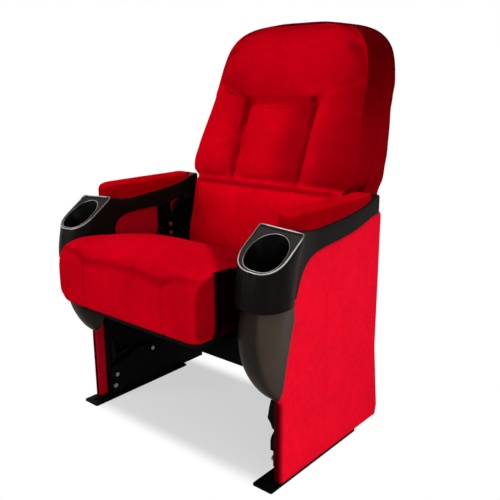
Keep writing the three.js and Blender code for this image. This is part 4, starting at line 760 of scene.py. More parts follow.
def beadPiece(name, path, radius, tones, lit):
    # a bead along an edge with a painted highlight: the second tone where lit says 1 and the first where it
    # says 0;
    # lit reads the place across from the cup's middle and the place along Y
    normal = np.array([0, -arms["cupSlope"], 1]) / np.hypot(1, arms["cupSlope"])
    bead = newPiece(name, *tubeAlong(path, radius, normal, closed=True), [finish["rimHighlightPlastic"]])
    points = pointsOf(bead)
    toneOf(bead, mix(*tones, lit(points[:, 0] - arms["cupCentreX"], points[:, 1])))
    return tilted(bead)


def wellMouth(name):
    # bead along the edge between the well and the sloping plate, with a painted highlight at its rear and
    # front
    path = wellRing(1.0, arms["wellRadius"], 0.0, arms["rimHeight"], steps=140)

    def lit(x, y):
        rear = ease(y, wellY + 10, wellY + 34) * (1 - ease(x, 5, 40))
        front = 1 - ease(y, wellY - 34, wellY - 12)
        return np.maximum(rear, front)

    return beadPiece(name, path, arms["mouthBead"], arms["mouthBeadHighlight"], lit)


def rimBead(name):
    outline = cupOutline(arms["rimWidth"] / 2)
    path = np.column_stack([outline, plateZ(outline[:, 1]) - 0.5])
    raised = ease(outline[:, 1], ridgeY - 14, ridgeY - 3)[:, None]
    path = path + raised * arms["ridgeBeadMove"]

    # painted highlight along the ridge, the outer side and the front
    def lit(x, y):
        ridge = ease(y, ridgeY - 8, ridgeY - 3) * (1 - ease(np.abs(x), 40, 46))
        outer = ease(x, 20, 40) * (1 - ease(y, ridgeY - 16, ridgeY - 9))
        front = 1 - ease(y, noseY + 18, noseY + 45)
        return np.maximum(ridge, np.maximum(outer, 0.75 * front))

    return beadPiece(name, path, arms["rimBead"], arms["rimBeadHighlight"], lit)


skirt = {
    # outline in Y and Z under the rail's rear end, and the flap's two faces
    "outline": [(116, 552), (122, 520), (130, 508), (172, 506),
                (177, 511), (177, 536), (172, 546), (160, 552)],
    "innerX": 285.6, "outerX": 288.6, "bevel": 0.8,
}


def railSkirt(name):
    # the moulding's rear end reaches down behind the panel to the back's bracket
    flap = prismPiece(name, skirt["outline"], skirt["innerX"], skirt["outerX"])
    flap.data.materials.append(finish["coverPlastic"])
    bevel = flap.modifiers.new("edges", "BEVEL")
    bevel.width, bevel.segments = skirt["bevel"] / 1000, 2
    return applied(flap)


rightArm = finished(armBody("arm_moulding_right"), finish["armPlastic"], 32)
leftArm = mirroredPiece(rightArm, "arm_moulding_left")
# the right plate painted lighter than the left, as painted light
for arm, plate in zip((rightArm, leftArm), arms["plateLights"]):
    armTones(arm, plate)
settlePair(rightArm, leftArm, "arm_body")
for maker, name in ((railSkirt, "arm_skirt"), (rimBead, "cup_rim_bead"), (wellMouth, "cup_mouth_bead")):
    right = maker(name + "_right")
    settlePair(right, mirroredPiece(right, name + "_left"))
print("arm bodies made,", len(rightArm.data.polygons), "faces each")


# Lower cup shells
cupShells = {
    "height": 220.0, "wall": 3.0, "innerWidth": 49.0, "outerWidth": 52.0, "lead": 8.0,
    "backReach": 22.0, "tipReach": 25.0, "tipInnerWidth": 8.0, "noseSteps": 48,
    "innerShadeTone": 0.3, "shadeToLightX": (315, 328),
}
shellUp = [0.0, 0.04, 0.13, 0.26, 0.4, 0.54, 0.7, 0.86, 1.0]
shellFrontIn = [1.0, 0.84, 0.58, 0.33, 0.15, 0.05, 0.0, 0.02, 0.08]
shellInnerIn = [1.0, 0.82, 0.54, 0.28, 0.12, 0.04, 0.0, 0.04, 0.1]
shellOuterIn = [1.0, 0.99, 0.93, 0.84, 0.72, 0.58, 0.4, 0.2, 0.0]


def shellRings(up, wall):
    # each level is a superellipse nose with straight sides running back behind the panel
    sizes = cupShells
    bottomZ, topZ = drawing["collarLipZ"] - sizes["height"], drawing["collarLipZ"] - gap
    z = mix(bottomZ, topZ, up)
    tipOuter = arms["panelOuterX"] + arms["lowerRadius"]
    x0 = mix(arms["cupCentreX"] - sizes["innerWidth"], arms["cupCentreX"] - sizes["tipInnerWidth"],
             smoothTable(up, shellUp, shellInnerIn)) + wall
    outerX = arms["cupCentreX"] + sizes["outerWidth"]
    x1 = mix(outerX, tipOuter, smoothTable(up, shellUp, shellOuterIn)) - wall
    frontY = mix(noseY - sizes["lead"], drawing["standFrontY"] - sizes["tipReach"],
                 smoothTable(up, shellUp, shellFrontIn)) + wall
    rearY = ridgeY + sizes["backReach"] + (openEnd if wall else 0.0)
    noseLength = np.minimum(arms["cupNoseLength"], (rearY - frontY) * 0.8)
    centre, half = (x0 + x1) / 2, (x1 - x0) / 2
    angle = np.linspace(0, np.pi, sizes["noseSteps"])[None, :]
    power = 2 / arms["cupNosePower"]
    across = np.sign(np.cos(angle)) * np.abs(np.cos(angle)) ** power
    ahead = np.abs(np.sin(angle)) ** power
    noseX = centre[:, None] + half[:, None] * across
    noseRow = frontY[:, None] + noseLength[:, None] * (1 - ahead)
    rearX = np.minimum(x1, arms["panelOuterX"] + sizes["wall"] - wall)
    share = np.linspace(0, 1, 6)[None, 1:]
    innerSide = np.stack([np.repeat(x0[:, None], 5, 1),
                          mix(noseRow[:, -1:], rearY, share)], -1)
    outerSide = np.stack([mix(rearX[:, None], x1[:, None], np.linspace(0, 1, 9)[None, :-1] ** 0.7),
                          mix(rearY, noseRow[:, :1], np.linspace(0, 1, 9)[None, :-1])], -1)
    ring = np.concatenate([np.stack([noseX, noseRow], -1), innerSide, outerSide], 1)
    return np.concatenate([ring, np.broadcast_to(z[:, None, None], (*ring.shape[:2], 1))], -1)


def cupShell(name):
    up = 1 - np.linspace(0, 1, 46) ** 0.9
    shell = newPiece(name, *loftParts(shellRings(up, 0.0)[::-1]))
    inside = shellRings(up[:-4], cupShells["wall"])
    mouth = inside[:1] + [0, 0, openEnd]
    hollow = newPiece("shellHollow", *loftParts(np.concatenate([mouth, inside])[::-1]))
    standRoom = boxPiece("standRoom", standInner - gap, 360, drawing["standFrontY"] - gap,
                         ridgeY + 60, 0, drawing["collarLipZ"] + openEnd)
    return cutBy(shell, hollow, standRoom, behindPanelEdge("edge", gap))


rightShell = finished(cupShell("cup_moulding_right"), finish["shellPlastic"], 40)
# painted shade on its inner side, lighter on the outer side by the panel
toneOf(rightShell, mix(cupShells["innerShadeTone"], 1.0, ease(pointsOf(rightShell)[:, 0], *cupShells["shadeToLightX"])))
settlePair(rightShell, mirroredPiece(rightShell, "cup_moulding_left"), "cup_shell")
print("cup shells made,", len(rightShell.data.polygons), "faces each")


# Side panels: velour over a padded board, turned over a round front and top edge
sidePanels = {
    "outerRoll": 11.0, "innerRoll": 4.0, "rearRoll": 2.5, "crown": 1.4, "rows": 80, "columns": 60,
    # painted shade: how dark the turned edge, the inner face and its part behind the post are
    "edgeShadeTone": 0.03, "edgePower": 4.5, "innerShadeTone": 0.52, "postShadeTone": 0.02,
    "shadeZ": (190, 206), "postY": (110, 114),
}
panelRearShares = [(1.0949, 0.0), (1.1154, 0.044), (1.0478, 0.36), (1.0478, 1.0)]


def awayFrom(points, line):
    # the shortest distance of every point to a line of straight pieces
    a, b = line[:-1], line[1:]
    toPoint = points[..., None, :] - a
    span = b - a
    t = np.clip((toPoint * span).sum(-1) / np.maximum((span ** 2).sum(-1), 1e-9), 0, 1)
    return np.linalg.norm(toPoint - t[..., None] * span, axis=-1).min(-1)


def quarterDrop(away, radius):
    # how far a face lies back beside a rounded edge: a quarter circle of the distance
    inside = np.clip(away / radius, 0, 1)
    return radius * (1 - np.sqrt(1 - (1 - inside) ** 2))


def sidePanel(name):
    # straight rows from the front and top edge across to the rear edge, with more of them
    # near the ends, on an outer and an inner face that both fall back at the outline
    sizes = sidePanels
    front = np.concatenate([panelPlace([(-0.0917, 0.0)]), smoothCurve(panelPlace(panelEdgeShares), 90)])
    along = lengthsAlong(front)
    share = np.linspace(0, 1, sizes["rows"])
    ends = np.array([0.0015, 0.003, 0.005, 0.008])
    at = np.sort(np.concatenate([ends, share, 1 - ends])) * along[-1]
    edge = np.stack([np.interp(at, along, front[:, k]) for k in (0, 1)], 1)
    rear = panelPlace(panelRearShares)
    rearAlong = lengthsAlong(rear)
    back = np.stack([np.interp(at / along[-1] * rearAlong[-1], rearAlong, rear[:, k]) for k in (0, 1)], 1)
    steps = np.linspace(0, 1, sizes["columns"])
    across = mix(steps ** 2.6, 1 - (1 - steps) ** 1.7, steps)
    face = mix(edge[:, None], back[:, None], across[None, :, None])
    toFront = awayFrom(face, front)
    toOther = awayFrom(face, np.concatenate([rear[::-1], front[:1]]))
    outerDrop = np.maximum(quarterDrop(toFront, sizes["outerRoll"]), quarterDrop(toOther, sizes["rearRoll"]))
    innerDrop = np.maximum(quarterDrop(toFront, sizes["innerRoll"]), quarterDrop(toOther, sizes["rearRoll"]))
    swell = sizes["crown"] * np.tanh(np.minimum(toFront, toOther) / 60)
    outer = np.concatenate([(arms["panelOuterX"] - outerDrop + swell)[..., None], face], -1)
    inner = np.concatenate([(arms["panelInnerX"] + innerDrop)[..., None], face], -1)
    rows, columns = face.shape[:2]
    grid = ringFaces(rows, columns, closed=False)
    count = rows * columns
    rim = np.concatenate([np.arange(columns), np.arange(1, rows) * columns + columns - 1,
                          (rows - 1) * columns + np.arange(columns - 2, -1, -1),
                          np.arange(rows - 2, 0, -1) * columns])
    after = np.roll(rim, -1)
    walls = np.stack([rim, after, after + count, rim + count], 1)
    points = np.concatenate([outer.reshape(-1, 3), inner.reshape(-1, 3)])
    faces = grid.tolist() + (grid[:, ::-1] + count).tolist() + walls.tolist()
    panel = newPiece(name, points, faces, [finish["panelLitVelour"]], sharp=60)
    panelTones(panel)
    return panel


def panelTones(panel):
    # painted shade: tone = low + (1 - low) t^power across the turned edge below the shell, where t goes
    # from the inner to the outer face; the inner face is darker, and black behind the post
    sizes = sidePanels
    x, y, z = pointsOf(panel).T
    across = np.clip((x - arms["panelInnerX"]) / (arms["panelOuterX"] - arms["panelInnerX"]), 0, 1)
    turned = mix(sizes["edgeShadeTone"], 1.0, across ** sizes["edgePower"])
    tone = mix(turned, 1.0, ease(z, *sizes["shadeZ"]) * ease(across, 0.3, 0.6))
    innerShadeTone = mix(sizes["innerShadeTone"], sizes["postShadeTone"], ease(y, *sizes["postY"]))
    toneOf(panel, np.where(across < 0.1, innerShadeTone, tone))


rightPanel = sidePanel("panel_cover_right")
settlePair(rightPanel, mirroredPiece(rightPanel, "panel_cover_left"), "side_panel")
print("side panels made")


# Backrest
backrest = {
    "halfWidth": 262.0, "lumbarHalfWidth": 243.0, "bottomZ": 372.0, "height": 628.0,
    "frontY": 80.0, "lean": 220.0, "depth": 149.0, "cushionDepth": 78.0,
    "crown": 14.0, "edgeRoll": 6.0, "edgeReach": 40.0, "chamfer": 4.0, "chamferZ": (620, 760),
    "swell": 6.0, "rows": 120, "columns": 104, "boxingCorner": 11.0,
    # the sewn panels: where their seams run and how far they stand forward
    "channelX": 111.0, "lumbarSeamZ": 589.0, "lumbarArch": 7.0, "lumbarBlend": 15.0,
    "headSeamZ": 789.0, "headSeamRise": 58.0,
    "valley": 20.0, "valleyTop": 10.0, "middleCrown": 3.0, "bolsterCrown": 6.0, "bolsterReach": 62.0,
    "bolsterFall": 9.0, "lumbarHollow": 3.0, "headHollow": 4.0, "pillow": 13.0, "belly": 12.0,
    # depth and half width of the sewn channels, and the height of the puckers beside them
    "channelGroove": (2.5, 4.5), "lumbarGroove": (1.6, 5.0), "headGroove": (3.5, 4.5), "pucker": 0.4,
    # painted light and shade: how light the lumbar pad, the panels, the pillow and the boxing's foot and top
    # are
    "lumbarTone": 1.0, "panelTone": 0.81, "pillowTone": 0.66,
    "boxingShades": (0.367, 0.128), "boxingZ": (640, 960),
    # the share of light that the painted shade takes at the pillow's left, the right bolster, the right edge,
    # the middle panel's right side, the left bolster and the valleys
    "pillowShade": 0.12, "bolsterShade": 0.2, "edgeShade": 0.36,
    "middleShade": 0.42, "leftShade": 0.22, "valleyShade": 0.3,
}
# Height share, then the front along the lean, the half width and the depth there
backUp = [0.0, 0.018, 0.05, 0.11, 0.17, 0.24, 0.3, 0.33, 0.346, 0.362, 0.41, 0.47, 0.53, 0.59, 0.65,
          0.67, 0.686, 0.702, 0.74, 0.79, 0.84, 0.89, 0.935, 0.965, 0.985, 1.0]
backFront = [0.1, 0.05, 0.035, 0.05, 0.095, 0.145, 0.18, 0.205, 0.245, 0.262, 0.29, 0.36, 0.425, 0.49,
             0.555, 0.58, 0.6, 0.61, 0.655, 0.7, 0.74, 0.78, 0.825, 0.87, 0.92, 1.0]
backWide = [0.955, 0.985, 1, 1, 1, 1, 1, 1, 1, 1.012, 1.028, 1.025, 1.01, 0.988, 0.962, 0.957, 0.954, 0.952,
            0.947, 0.932, 0.908, 0.868, 0.79, 0.685, 0.53, 0.28]
backDeep = [0.94, 1.04, 1.1, 1.13, 1.11, 1.09, 1.08, 1.08, 1.07, 1.07, 1.045, 1.02, 1, 1, 1, 1, 1, 1, 1,
            0.98, 0.96, 0.92, 0.84, 0.74, 0.64, 0.46]


def backRows(count):
    # rows evenly spaced along the back's side outline
    outline = np.stack([np.array(backWide) * backrest["halfWidth"], np.array(backUp) * backrest["height"]], 1)
    along = lengthsAlong(outline)
    at = np.linspace(0, along[-1], count)
    return smoothTable(at, along, backUp), smoothTable(at, along, backWide) * backrest["halfWidth"]


def backLevels(count):
    # at each row: share, height, half widths behind and in front, front, rear of cushion and shell
    up, half = backRows(count)
    z = backrest["bottomZ"] + backrest["height"] * up
    below = np.clip((backrest["lumbarSeamZ"] + backrest["lumbarBlend"] - z) / backrest["lumbarBlend"], 0, 1)
    frontHalf = mix(half, np.minimum(half, backrest["lumbarHalfWidth"]), below)
    frontY = backrest["frontY"] + backrest["lean"] * smoothTable(up, backUp, backFront)
    deep = smoothTable(up, backUp, backDeep)
    midY = frontY + backrest["cushionDepth"] * np.minimum(deep, 1)
    return up, z, half, frontHalf, frontY, midY, frontY + backrest["depth"] * deep


def headSeam(x):
    # level over the middle panel, rising outwards over the bolsters
    channel = backrest["channelX"]
    outside = np.clip((np.abs(x) - channel) / (backrest["halfWidth"] - channel), 0, 1)
    return backrest["headSeamZ"] + backrest["headSeamRise"] * outside ** 0.6


def lumbarSeam(x):
    return backrest["lumbarSeamZ"] + backrest["lumbarArch"] * (1 - (x / backrest["halfWidth"]) ** 2)


def backRelief(x, z):
    # how far the face stands forward (mm): rounded panels with valleys between them, a
    # pillow that overhangs its seam and a lumbar pad that swells under its own. From t = 0 in
    # the middle to the seam at 1, middle = (valley + crown) sqrt(1 - t^2.4) - valley; from
    # s = 0 at the seam outwards, bolster = (valley + crown) sqrt(1 - (1 - s)^2.6) - valley
    sizes, head, lumbar = backrest, headSeam(x), lumbarSeam(x)
    channel = sizes["channelX"]
    valley = sizes["valley"] + sizes["valleyTop"] * ease(z, 690, sizes["headSeamZ"])
    t = np.clip(np.abs(x) / channel, 0, 1)
    s = np.clip((np.abs(x) - channel) / sizes["bolsterReach"], 0, 1)
    middle = (valley + sizes["middleCrown"]) * np.sqrt(1 - t ** 2.4) - valley
    bolster = (valley + sizes["bolsterCrown"]) * np.sqrt(1 - (1 - s) ** 2.6) - valley
    bolster = bolster - sizes["bolsterFall"] * ease(np.abs(x), 165, 262)
    face = np.where(np.abs(x) < channel, middle, bolster)
    face = mix(-sizes["lumbarHollow"], face, ease(z, lumbar, lumbar + 18))
    seamed = 1 - ease(x, channel - 12, channel + 14)
    face = mix(face, np.minimum(face, -sizes["headHollow"]), ease(z, head - 7, head) * seamed)
    pillow = sizes["pillow"] * (1 - ease(z, head + 70, 975))
    face = mix(face, pillow, ease(z, head - 1, head + 26))
    belly = sizes["belly"] * ease(z, 430, 540) * (1 - ease(z, lumbar - 24, lumbar + 2))
    return np.where(z < lumbar + 2, belly, face)


def backGrooves(x, z):
    # sewn channels: narrow along the seams, fading where they end
    head, lumbar, channel = headSeam(x), lumbarSeam(x), backrest["channelX"]
    along = np.clip((z - backrest["bottomZ"]) / backrest["height"], 0, 1)
    half = smoothTable(along, backUp, backWide) * backrest["halfWidth"]
    across = 1 - ease(np.abs(x), half - 22, half - 6)
    total = 0
    for key, away, share in (
            ("channelGroove", np.abs(x) - channel,
             ease(z, lumbar - 4, lumbar + 6) * (1 - ease(z, head - 6, head + 2))),
            ("lumbarGroove", z - lumbar, across * (1 - 0.8 * ease(x, 125, 190))),
            ("headGroove", z - head, across * (1 - ease(x, channel - 8, channel + 12)))):
        depth, width = backrest[key]
        total = total + depth * hump(away, width) * share
    return total


def boxingShade(z):
    # painted shade: the boxing darkens upwards
    return mix(*backrest["boxingShades"], ease(z, *backrest["boxingZ"]))


def backShading(obj, normals):
    # painted shade: the cloth darker on the sides, towards the right edge, in the valleys and on the pillow
    sizes = backrest
    x, _, z = pointsOf(obj).T
    head, lumbar, channel = headSeam(x), lumbarSeam(x), sizes["channelX"]
    above = ease(z, lumbar - 6, lumbar + 10)
    under = above * (1 - ease(z, head - 6, head + 6))
    right = sizes["bolsterShade"] * ease(x, 128, 175) * under + sizes["edgeShade"] * ease(x, 120, 255) * above
    middle = sizes["middleShade"] * ease(x, 5, 90) * (1 - ease(x, 108, 116))
    left = sizes["leftShade"] * ease(x, -168, -122) * (1 - ease(x, -116, -104))
    valleys = sizes["valleyShade"] * hump(np.abs(x) - channel, 6) * under
    pillow = sizes["pillowTone"] * (1 - sizes["pillowShade"] * ease(-x, 60, 150))
    tone = mix(mix(sizes["lumbarTone"], sizes["panelTone"], above), pillow, ease(z, head - 20, head + 30))
    tone = tone * (1 - right) * (1 - (middle + left) * under) * (1 - valleys)
    toneOf(obj, mix(boxingShade(z), tone, ease(-normals[:, 1], 0.55, 0.85)))


def backRings():
    # rows of a closed ring: the front with crown (1 - share^3) and edges rolled back by
    # roll (1 - inside)^2, then the flat side and back
    up, z, _, frontHalf, frontY, midY, _ = backLevels(backrest["rows"])
    share = np.linspace(-1, 1, backrest["columns"])
    share = np.sign(share) * (1 - (1 - np.abs(share)) ** 1.2)
    chamfer = backrest["chamfer"] * ease(z, *backrest["chamferZ"])
    faceHalf = (frontHalf - chamfer)[:, None]
    x = faceHalf * share[None, :]
    fade = np.clip((1 - up) * 8, 0.2, 1) * np.clip(up * 20, 0.4, 1)
    crown = backrest["crown"] * fade[:, None] * (1 - np.abs(share[None, :]) ** 3)
    roll = np.minimum(backrest["edgeRoll"], (midY - frontY) * 0.5)[:, None]
    inside = np.clip((faceHalf - np.abs(x)) / backrest["edgeReach"], 0, 1)
    zs = np.broadcast_to(z[:, None], x.shape)
    relief = backRelief(x, zs) * fade[:, None] * ease(inside, 0, 1)
    y = np.minimum(frontY[:, None] - crown + roll * (1 - inside) ** 2 - relief, midY[:, None] - 4)
    sideShare = np.array([0.04, 0.15, 0.3, 0.45, 0.6, 0.75, 0.88, 0.97, 1.0])
    sideY = mix(y[:, -1:], midY[:, None], sideShare[None])
    sideX = frontHalf[:, None] - chamfer[:, None] * np.clip(1 - sideShare / 0.45, 0, 1)[None] ** 1.5
    sideZ = np.repeat(z[:, None], len(sideShare), 1)
    backShare = np.concatenate([[0.99], np.linspace(1, -1, 20)[1:-1], [-0.99]])
    rearX = frontHalf[:, None] * backShare[None]
    rear = np.stack(np.broadcast_arrays(rearX, midY[:, None], z[:, None]), -1)
    return np.concatenate([np.stack([x, y, zs], -1), np.stack([sideX, sideY, sideZ], -1), rear,
                           np.stack([-sideX[:, ::-1], sideY[:, ::-1], sideZ], -1)], 1)


def backCushion(name):
    obj = newPiece(name, *loftParts(backRings()), [finish["backVelour"]])
    points, normals = surfaceOf(obj)
    facing = ease(-normals[:, 1], 0.3, 0.8)
    grooves = backGrooves(points[:, 0], points[:, 2]) / 4.0
    sunk(obj, backrest["swell"] * 0.5 * facing)
    puffed(obj, np.clip(np.maximum(grooves, 1 - facing), 0, 1), backrest["swell"])
    subdivided(obj)
    points, normals = surfaceOf(obj)
    x, z = points[:, 0], points[:, 2]
    pucker = np.sin(x / 4.2) * hump(z - lumbarSeam(x), 14) * (1 - ease(np.abs(x), 190, 225))
    sunk(obj, (backGrooves(x, z) + backrest["pucker"] * pucker) * ease(-normals[:, 1], 0.2, 0.7))
    backShading(obj, normals)
    shaded(obj, 50)
    return obj


backPad = backCushion("back_cover_cloth")
settle(backPad, "stand", ["back_cushion"])
print("back cushion made,", len(backPad.data.polygons), "faces")


def backLayer(name, y0, y1, half, z, corner, material, dome=0.0):
    # closed rings: straight front, sides, rounded rear corners, a slightly domed rear
    corner = np.minimum(np.minimum(corner, half * 0.5), (y1 - y0) * 0.6)
    turn = np.linspace(0, np.pi / 2, 9)[None]
    front = np.linspace(-1, 1, 9)[None] * half[:, None]
    side = np.linspace(0, 1, 6)[None, 1:-1]
    flatShare = np.linspace(1, -1, 15)[None, 1:-1]
    cornerX = half[:, None] - corner[:, None] * (1 - np.cos(turn))
    cornerY = y1[:, None] - corner[:, None] * (1 - np.sin(turn))
    domed = dome * (1 - flatShare ** 2)
    rear = np.stack([(half - corner)[:, None] * flatShare, y1[:, None] + domed], -1)
    parts = [np.stack([front, np.repeat(y0[:, None], 9, 1)], -1),
             np.stack([np.repeat(half[:, None], 4, 1), mix(y0[:, None], cornerY[:, :1], side)], -1),
             np.stack([cornerX, cornerY], -1), rear,
             np.stack([-cornerX[:, ::-1], cornerY[:, ::-1]], -1),
             np.stack([np.repeat(-half[:, None], 4, 1), mix(cornerY[:, :1], y0[:, None], side)], -1)]
    ring = np.concatenate(parts, 1)
    rings = np.concatenate([ring, np.broadcast_to(z[:, None, None], (*ring.shape[:2], 1))], -1)
    return newPiece(name, *loftParts(rings), [material], sharp=50)


rearCover = {"inset": 22.0, "narrowest": 26.0, "sunk": 4.0, "proud": 8.0, "corner": 9.0, "dome": 1.5}
up, z, half, _, _, midY, rearY = backLevels(90)
backBox = backLayer("back_boxing", midY + gap, rearY, half, z, backrest["boxingCorner"],
                    finish["backVelour"])
# painted shade on the boxing, darker upwards
toneOf(backBox, boxingShade(pointsOf(backBox)[:, 2]))
settle(backBox, "stand", ["back_shell"])
inset = rearCover["inset"]
coverZ = mix(backrest["bottomZ"] + inset, backrest["bottomZ"] + backrest["height"] - inset * 0.8, up)
backShellCover = backLayer(
    "back_cover_moulding", rearY - rearCover["sunk"], rearY + rearCover["proud"],
    np.maximum(half - inset, rearCover["narrowest"]), coverZ, rearCover["corner"], finish["coverPlastic"],
    rearCover["dome"])
settle(backShellCover, "stand", ["back_cover"])
print("back shell and cover made")


# Seat cushion
seatCushion = {
    "halfWidth": 229.0, "frontY": -358.0, "rearY": 60.0, "bottomZ": 336.2, "height": 164.0,
    "sideDrop": 9.0, "rearDrop": 10.0, "footRadius": 26.0, "noseRadius": 5.0, "swell": 5.0,
    "across": 58, "around": 116,
    # the crease over the front and the two upright seams below it
    "seamX": 130.0, "seamDepth": 2.6, "creaseDepth": 4.0, "lip": 4.0, "pucker": 0.3,
    # how light the front and the turned edge of the sides are under painted shade, how light their black part
    # is, and the share of light that painted shade takes in the crease, under the arm, at the left and in the
    # seams
    "frontTone": 0.88, "sideShadeTone": 0.5, "blackTone": 0.004, "sideEdge": 58.0,
    "creaseShade": 0.3, "armShade": 0.5, "leftShade": 0.13, "seamShade": 0.1,
    # the edge of the arm's painted shadow passes here, and runs forward by this much towards the right
    "shadeX": 128.0, "shadeY": -203.0, "shadeSlope": 0.865,
}
# Share of the depth from the front and share of the height, up over the top and down behind
seatProfile = [
    (0.081, 0.0), (0.053, 0.0125), (0.029, 0.048), (0.011, 0.104), (0.001, 0.19), (0.0, 0.36), (0.001, 0.54),
    (0.006, 0.68), (0.012, 0.74), (0.026, 0.83), (0.057, 0.92), (0.11, 0.965),
    (0.19, 0.992), (0.29, 1.0), (0.4, 0.968), (0.526, 0.895), (0.653, 0.78), (0.787, 0.65),
    (0.9, 0.55), (0.965, 0.48), (0.996, 0.38), (1.0, 0.2), (0.99, 0.05), (0.96, 0.0),
]
seatAcross = [0.0, 0.3, 0.54, 0.5677, 0.596, 0.76, 0.89, 0.955, 0.99, 1.0]
seatDraw = [0.0, 0.0, 0.0, 0.0, 0.0, 0.002, 0.006, 0.014, 0.035, 0.075]
seatCreaseX = [0.0, 63.0, 118.0, 130.0, 146.0, 160.0, 190.0, 215.0, 232.0]
seatCreaseZ = [468.0, 465.5, 460.0, 459.0, 468.0, 473.0, 478.0, 481.0, 488.0]


def creaseZ(x):
    # arched over the middle, with a notch at each upright seam, then rising to the corner
    return smoothTable(np.abs(x), seatCreaseX, seatCreaseZ)


def seatGrooves(points, normals):
    x, _, z = points.T
    crease = creaseZ(x)
    seam = hump(np.abs(x) - seatCushion["seamX"], 3.2) * (1 - ease(z, crease + 4, crease + 24))
    fold = seatCushion["creaseDepth"] * hump(z - crease, 6.0)
    lip = seatCushion["lip"] * hump(z - crease - 18, 13)
    return ease(-normals[:, 1], 0.1, 0.5) * (fold + seatCushion["seamDepth"] * seam - lip)


def quarterRise(beyond, radius):
    # how far a face has turned up or back beside a rounded edge: a quarter circle of the
    # distance beyond the edge, which is negative on the face
    turn = np.clip(beyond / radius + 1, 0, 1)
    return radius * (1 - np.sqrt(1 - 0.97 * turn ** 2))


def seatRings():
    # the side profile carried across the width, drawn in towards its middle at the sides
    sizes = seatCushion
    depth, height = sizes["rearY"] - sizes["frontY"], sizes["height"]
    under = np.stack([np.linspace(seatProfile[-1][0], seatProfile[0][0], 34)[1:-1], np.zeros(32)], 1)
    along, up = np.concatenate([smoothCurve(seatProfile, sizes["around"]), under]).T[:, None]
    a = np.linspace(-1, 1, sizes["across"])
    a = np.sign(a) * (1 - (1 - np.abs(a)) ** 1.35)
    beside = (sizes["seamX"] + np.array([-5.0, -2.0, 0.0, 2.0, 5.0])) / sizes["halfWidth"]
    a = a[np.abs(np.abs(a) - beside[2]) > 0.03]
    a = np.sort(np.concatenate([a, beside, -beside]))[:, None]
    draw = smoothTable(np.abs(a), seatAcross, seatDraw)
    drop = (sizes["sideDrop"] + sizes["rearDrop"] * ease(along, 0.1, 0.4)) * np.abs(a) ** 3
    y = mix(sizes["frontY"] + depth * along, sizes["frontY"] + depth / 2, draw * 0.5)
    z = mix(sizes["bottomZ"] + (height - drop) * up, sizes["bottomZ"] + height / 2, draw)
    z = np.maximum(z, sizes["bottomZ"] + draw * height * 0.2)
    # round lower side edges and front corners
    beyond = (np.abs(a) - 1) * sizes["halfWidth"]
    z = z + quarterRise(beyond, sizes["footRadius"]) * (1 - (z - sizes["bottomZ"]) / height)
    y = y + quarterRise(beyond, sizes["noseRadius"]) * (1 - ease(along, 0.0, 0.5))
    rings = np.stack([np.broadcast_to(a * (sizes["halfWidth"] - 2.0), y.shape), y, z], -1)
    # both ends are closed by rings that shrink towards their middle
    keep = np.linspace(0.97, 0.1, 24)[:, None, None]
    caps = []
    for end in (0, -1):
        centre = rings[end].mean(0)
        cap = centre + (rings[end][None] - centre) * keep
        cap[..., 0] = np.sign(centre[0]) * (sizes["halfWidth"] + 2.0 * (1 - keep[..., 0] ** 2))
        caps.append(cap)
    return np.concatenate([caps[0][::-1], rings, caps[1]])


def seatShading(obj, normals):
    # painted shade: the front turns dark over its crease and the sides are dark; behind their turned edge the
    # sides are black, and so is the underside; a painted shadow of the arm lies over the rear right of the
    # top
    sizes, (x, y, z) = seatCushion, pointsOf(obj).T
    front = ease(-normals[:, 1], 0.3, 0.8)
    behind = ease(y - sizes["frontY"] - sizes["sideEdge"], -3, 3)
    crease = sizes["creaseShade"] * hump(z - creaseZ(x) + 4, 8) * front
    beyond = y - sizes["shadeY"] + sizes["shadeSlope"] * (x - sizes["shadeX"])
    shade = sizes["armShade"] * ease(beyond, -14, 14) * ease(z, 400, 440)
    left = sizes["leftShade"] * ease(-x, 110, 200)
    upright = hump(np.abs(x) - sizes["seamX"], 3) * (1 - ease(z, creaseZ(x), creaseZ(x) + 20))
    tone = mix(1.0, sizes["frontTone"], front) * (1 - crease) * (1 - shade) * (1 - left)
    tone = tone * (1 - sizes["seamShade"] * upright * front)
    side = mix(sizes["sideShadeTone"], sizes["blackTone"], behind)
    tone = mix(tone, side, ease(np.abs(normals[:, 0]), 0.72, 0.97))
    hidden = np.maximum(ease(np.abs(normals[:, 0]), 0.3, 0.6), ease(-normals[:, 2], 0.1, 0.4))
    tone = mix(tone, sizes["blackTone"], hidden * behind)
    toneOf(obj, mix(tone, sizes["blackTone"], ease(-normals[:, 2], 0.6, 0.85)))


def seatBody(name):
    sizes = seatCushion
    obj = newPiece(name, *loftParts(seatRings()), [finish["seatVelour"]])
    points, normals = surfaceOf(obj)
    inside = ease(sizes["halfWidth"] - 1 - np.abs(points[:, 0]), 0, 20) * (normals[:, 2] > -0.5)
    sunk(obj, sizes["swell"] * 0.5 * inside)
    points, normals = surfaceOf(obj)
    groove = np.clip(seatGrooves(points, normals) / 3.0, 0, 1)
    under = ease(sizes["bottomZ"] + 10 - points[:, 2], 0, 8)
    sides = ease(np.abs(normals[:, 0]), 0.5, 0.9)
    puffed(obj, np.maximum(np.maximum(groove, under), sides), sizes["swell"])
    subdivided(obj)
    points, normals = surfaceOf(obj)
    x, _, z = points.T
    pucker = np.sin(x / 3.9) * hump(z - creaseZ(x), 9) * ease(-normals[:, 1], 0.15, 0.6)
    sunk(obj, seatGrooves(points, normals) + sizes["pucker"] * pucker)
    points = pointsOf(obj)
    points[:, 2] = np.maximum(points[:, 2], sizes["bottomZ"])
    setPoints(obj, points)
    seatShading(obj, normals)
    shaded(obj, 70)
    return obj


seatPad = seatBody("seat_cover_cloth")
settle(seatPad, "seat", ["seat_cushion"])
print("seat cushion made,", len(seatPad.data.polygons), "faces")


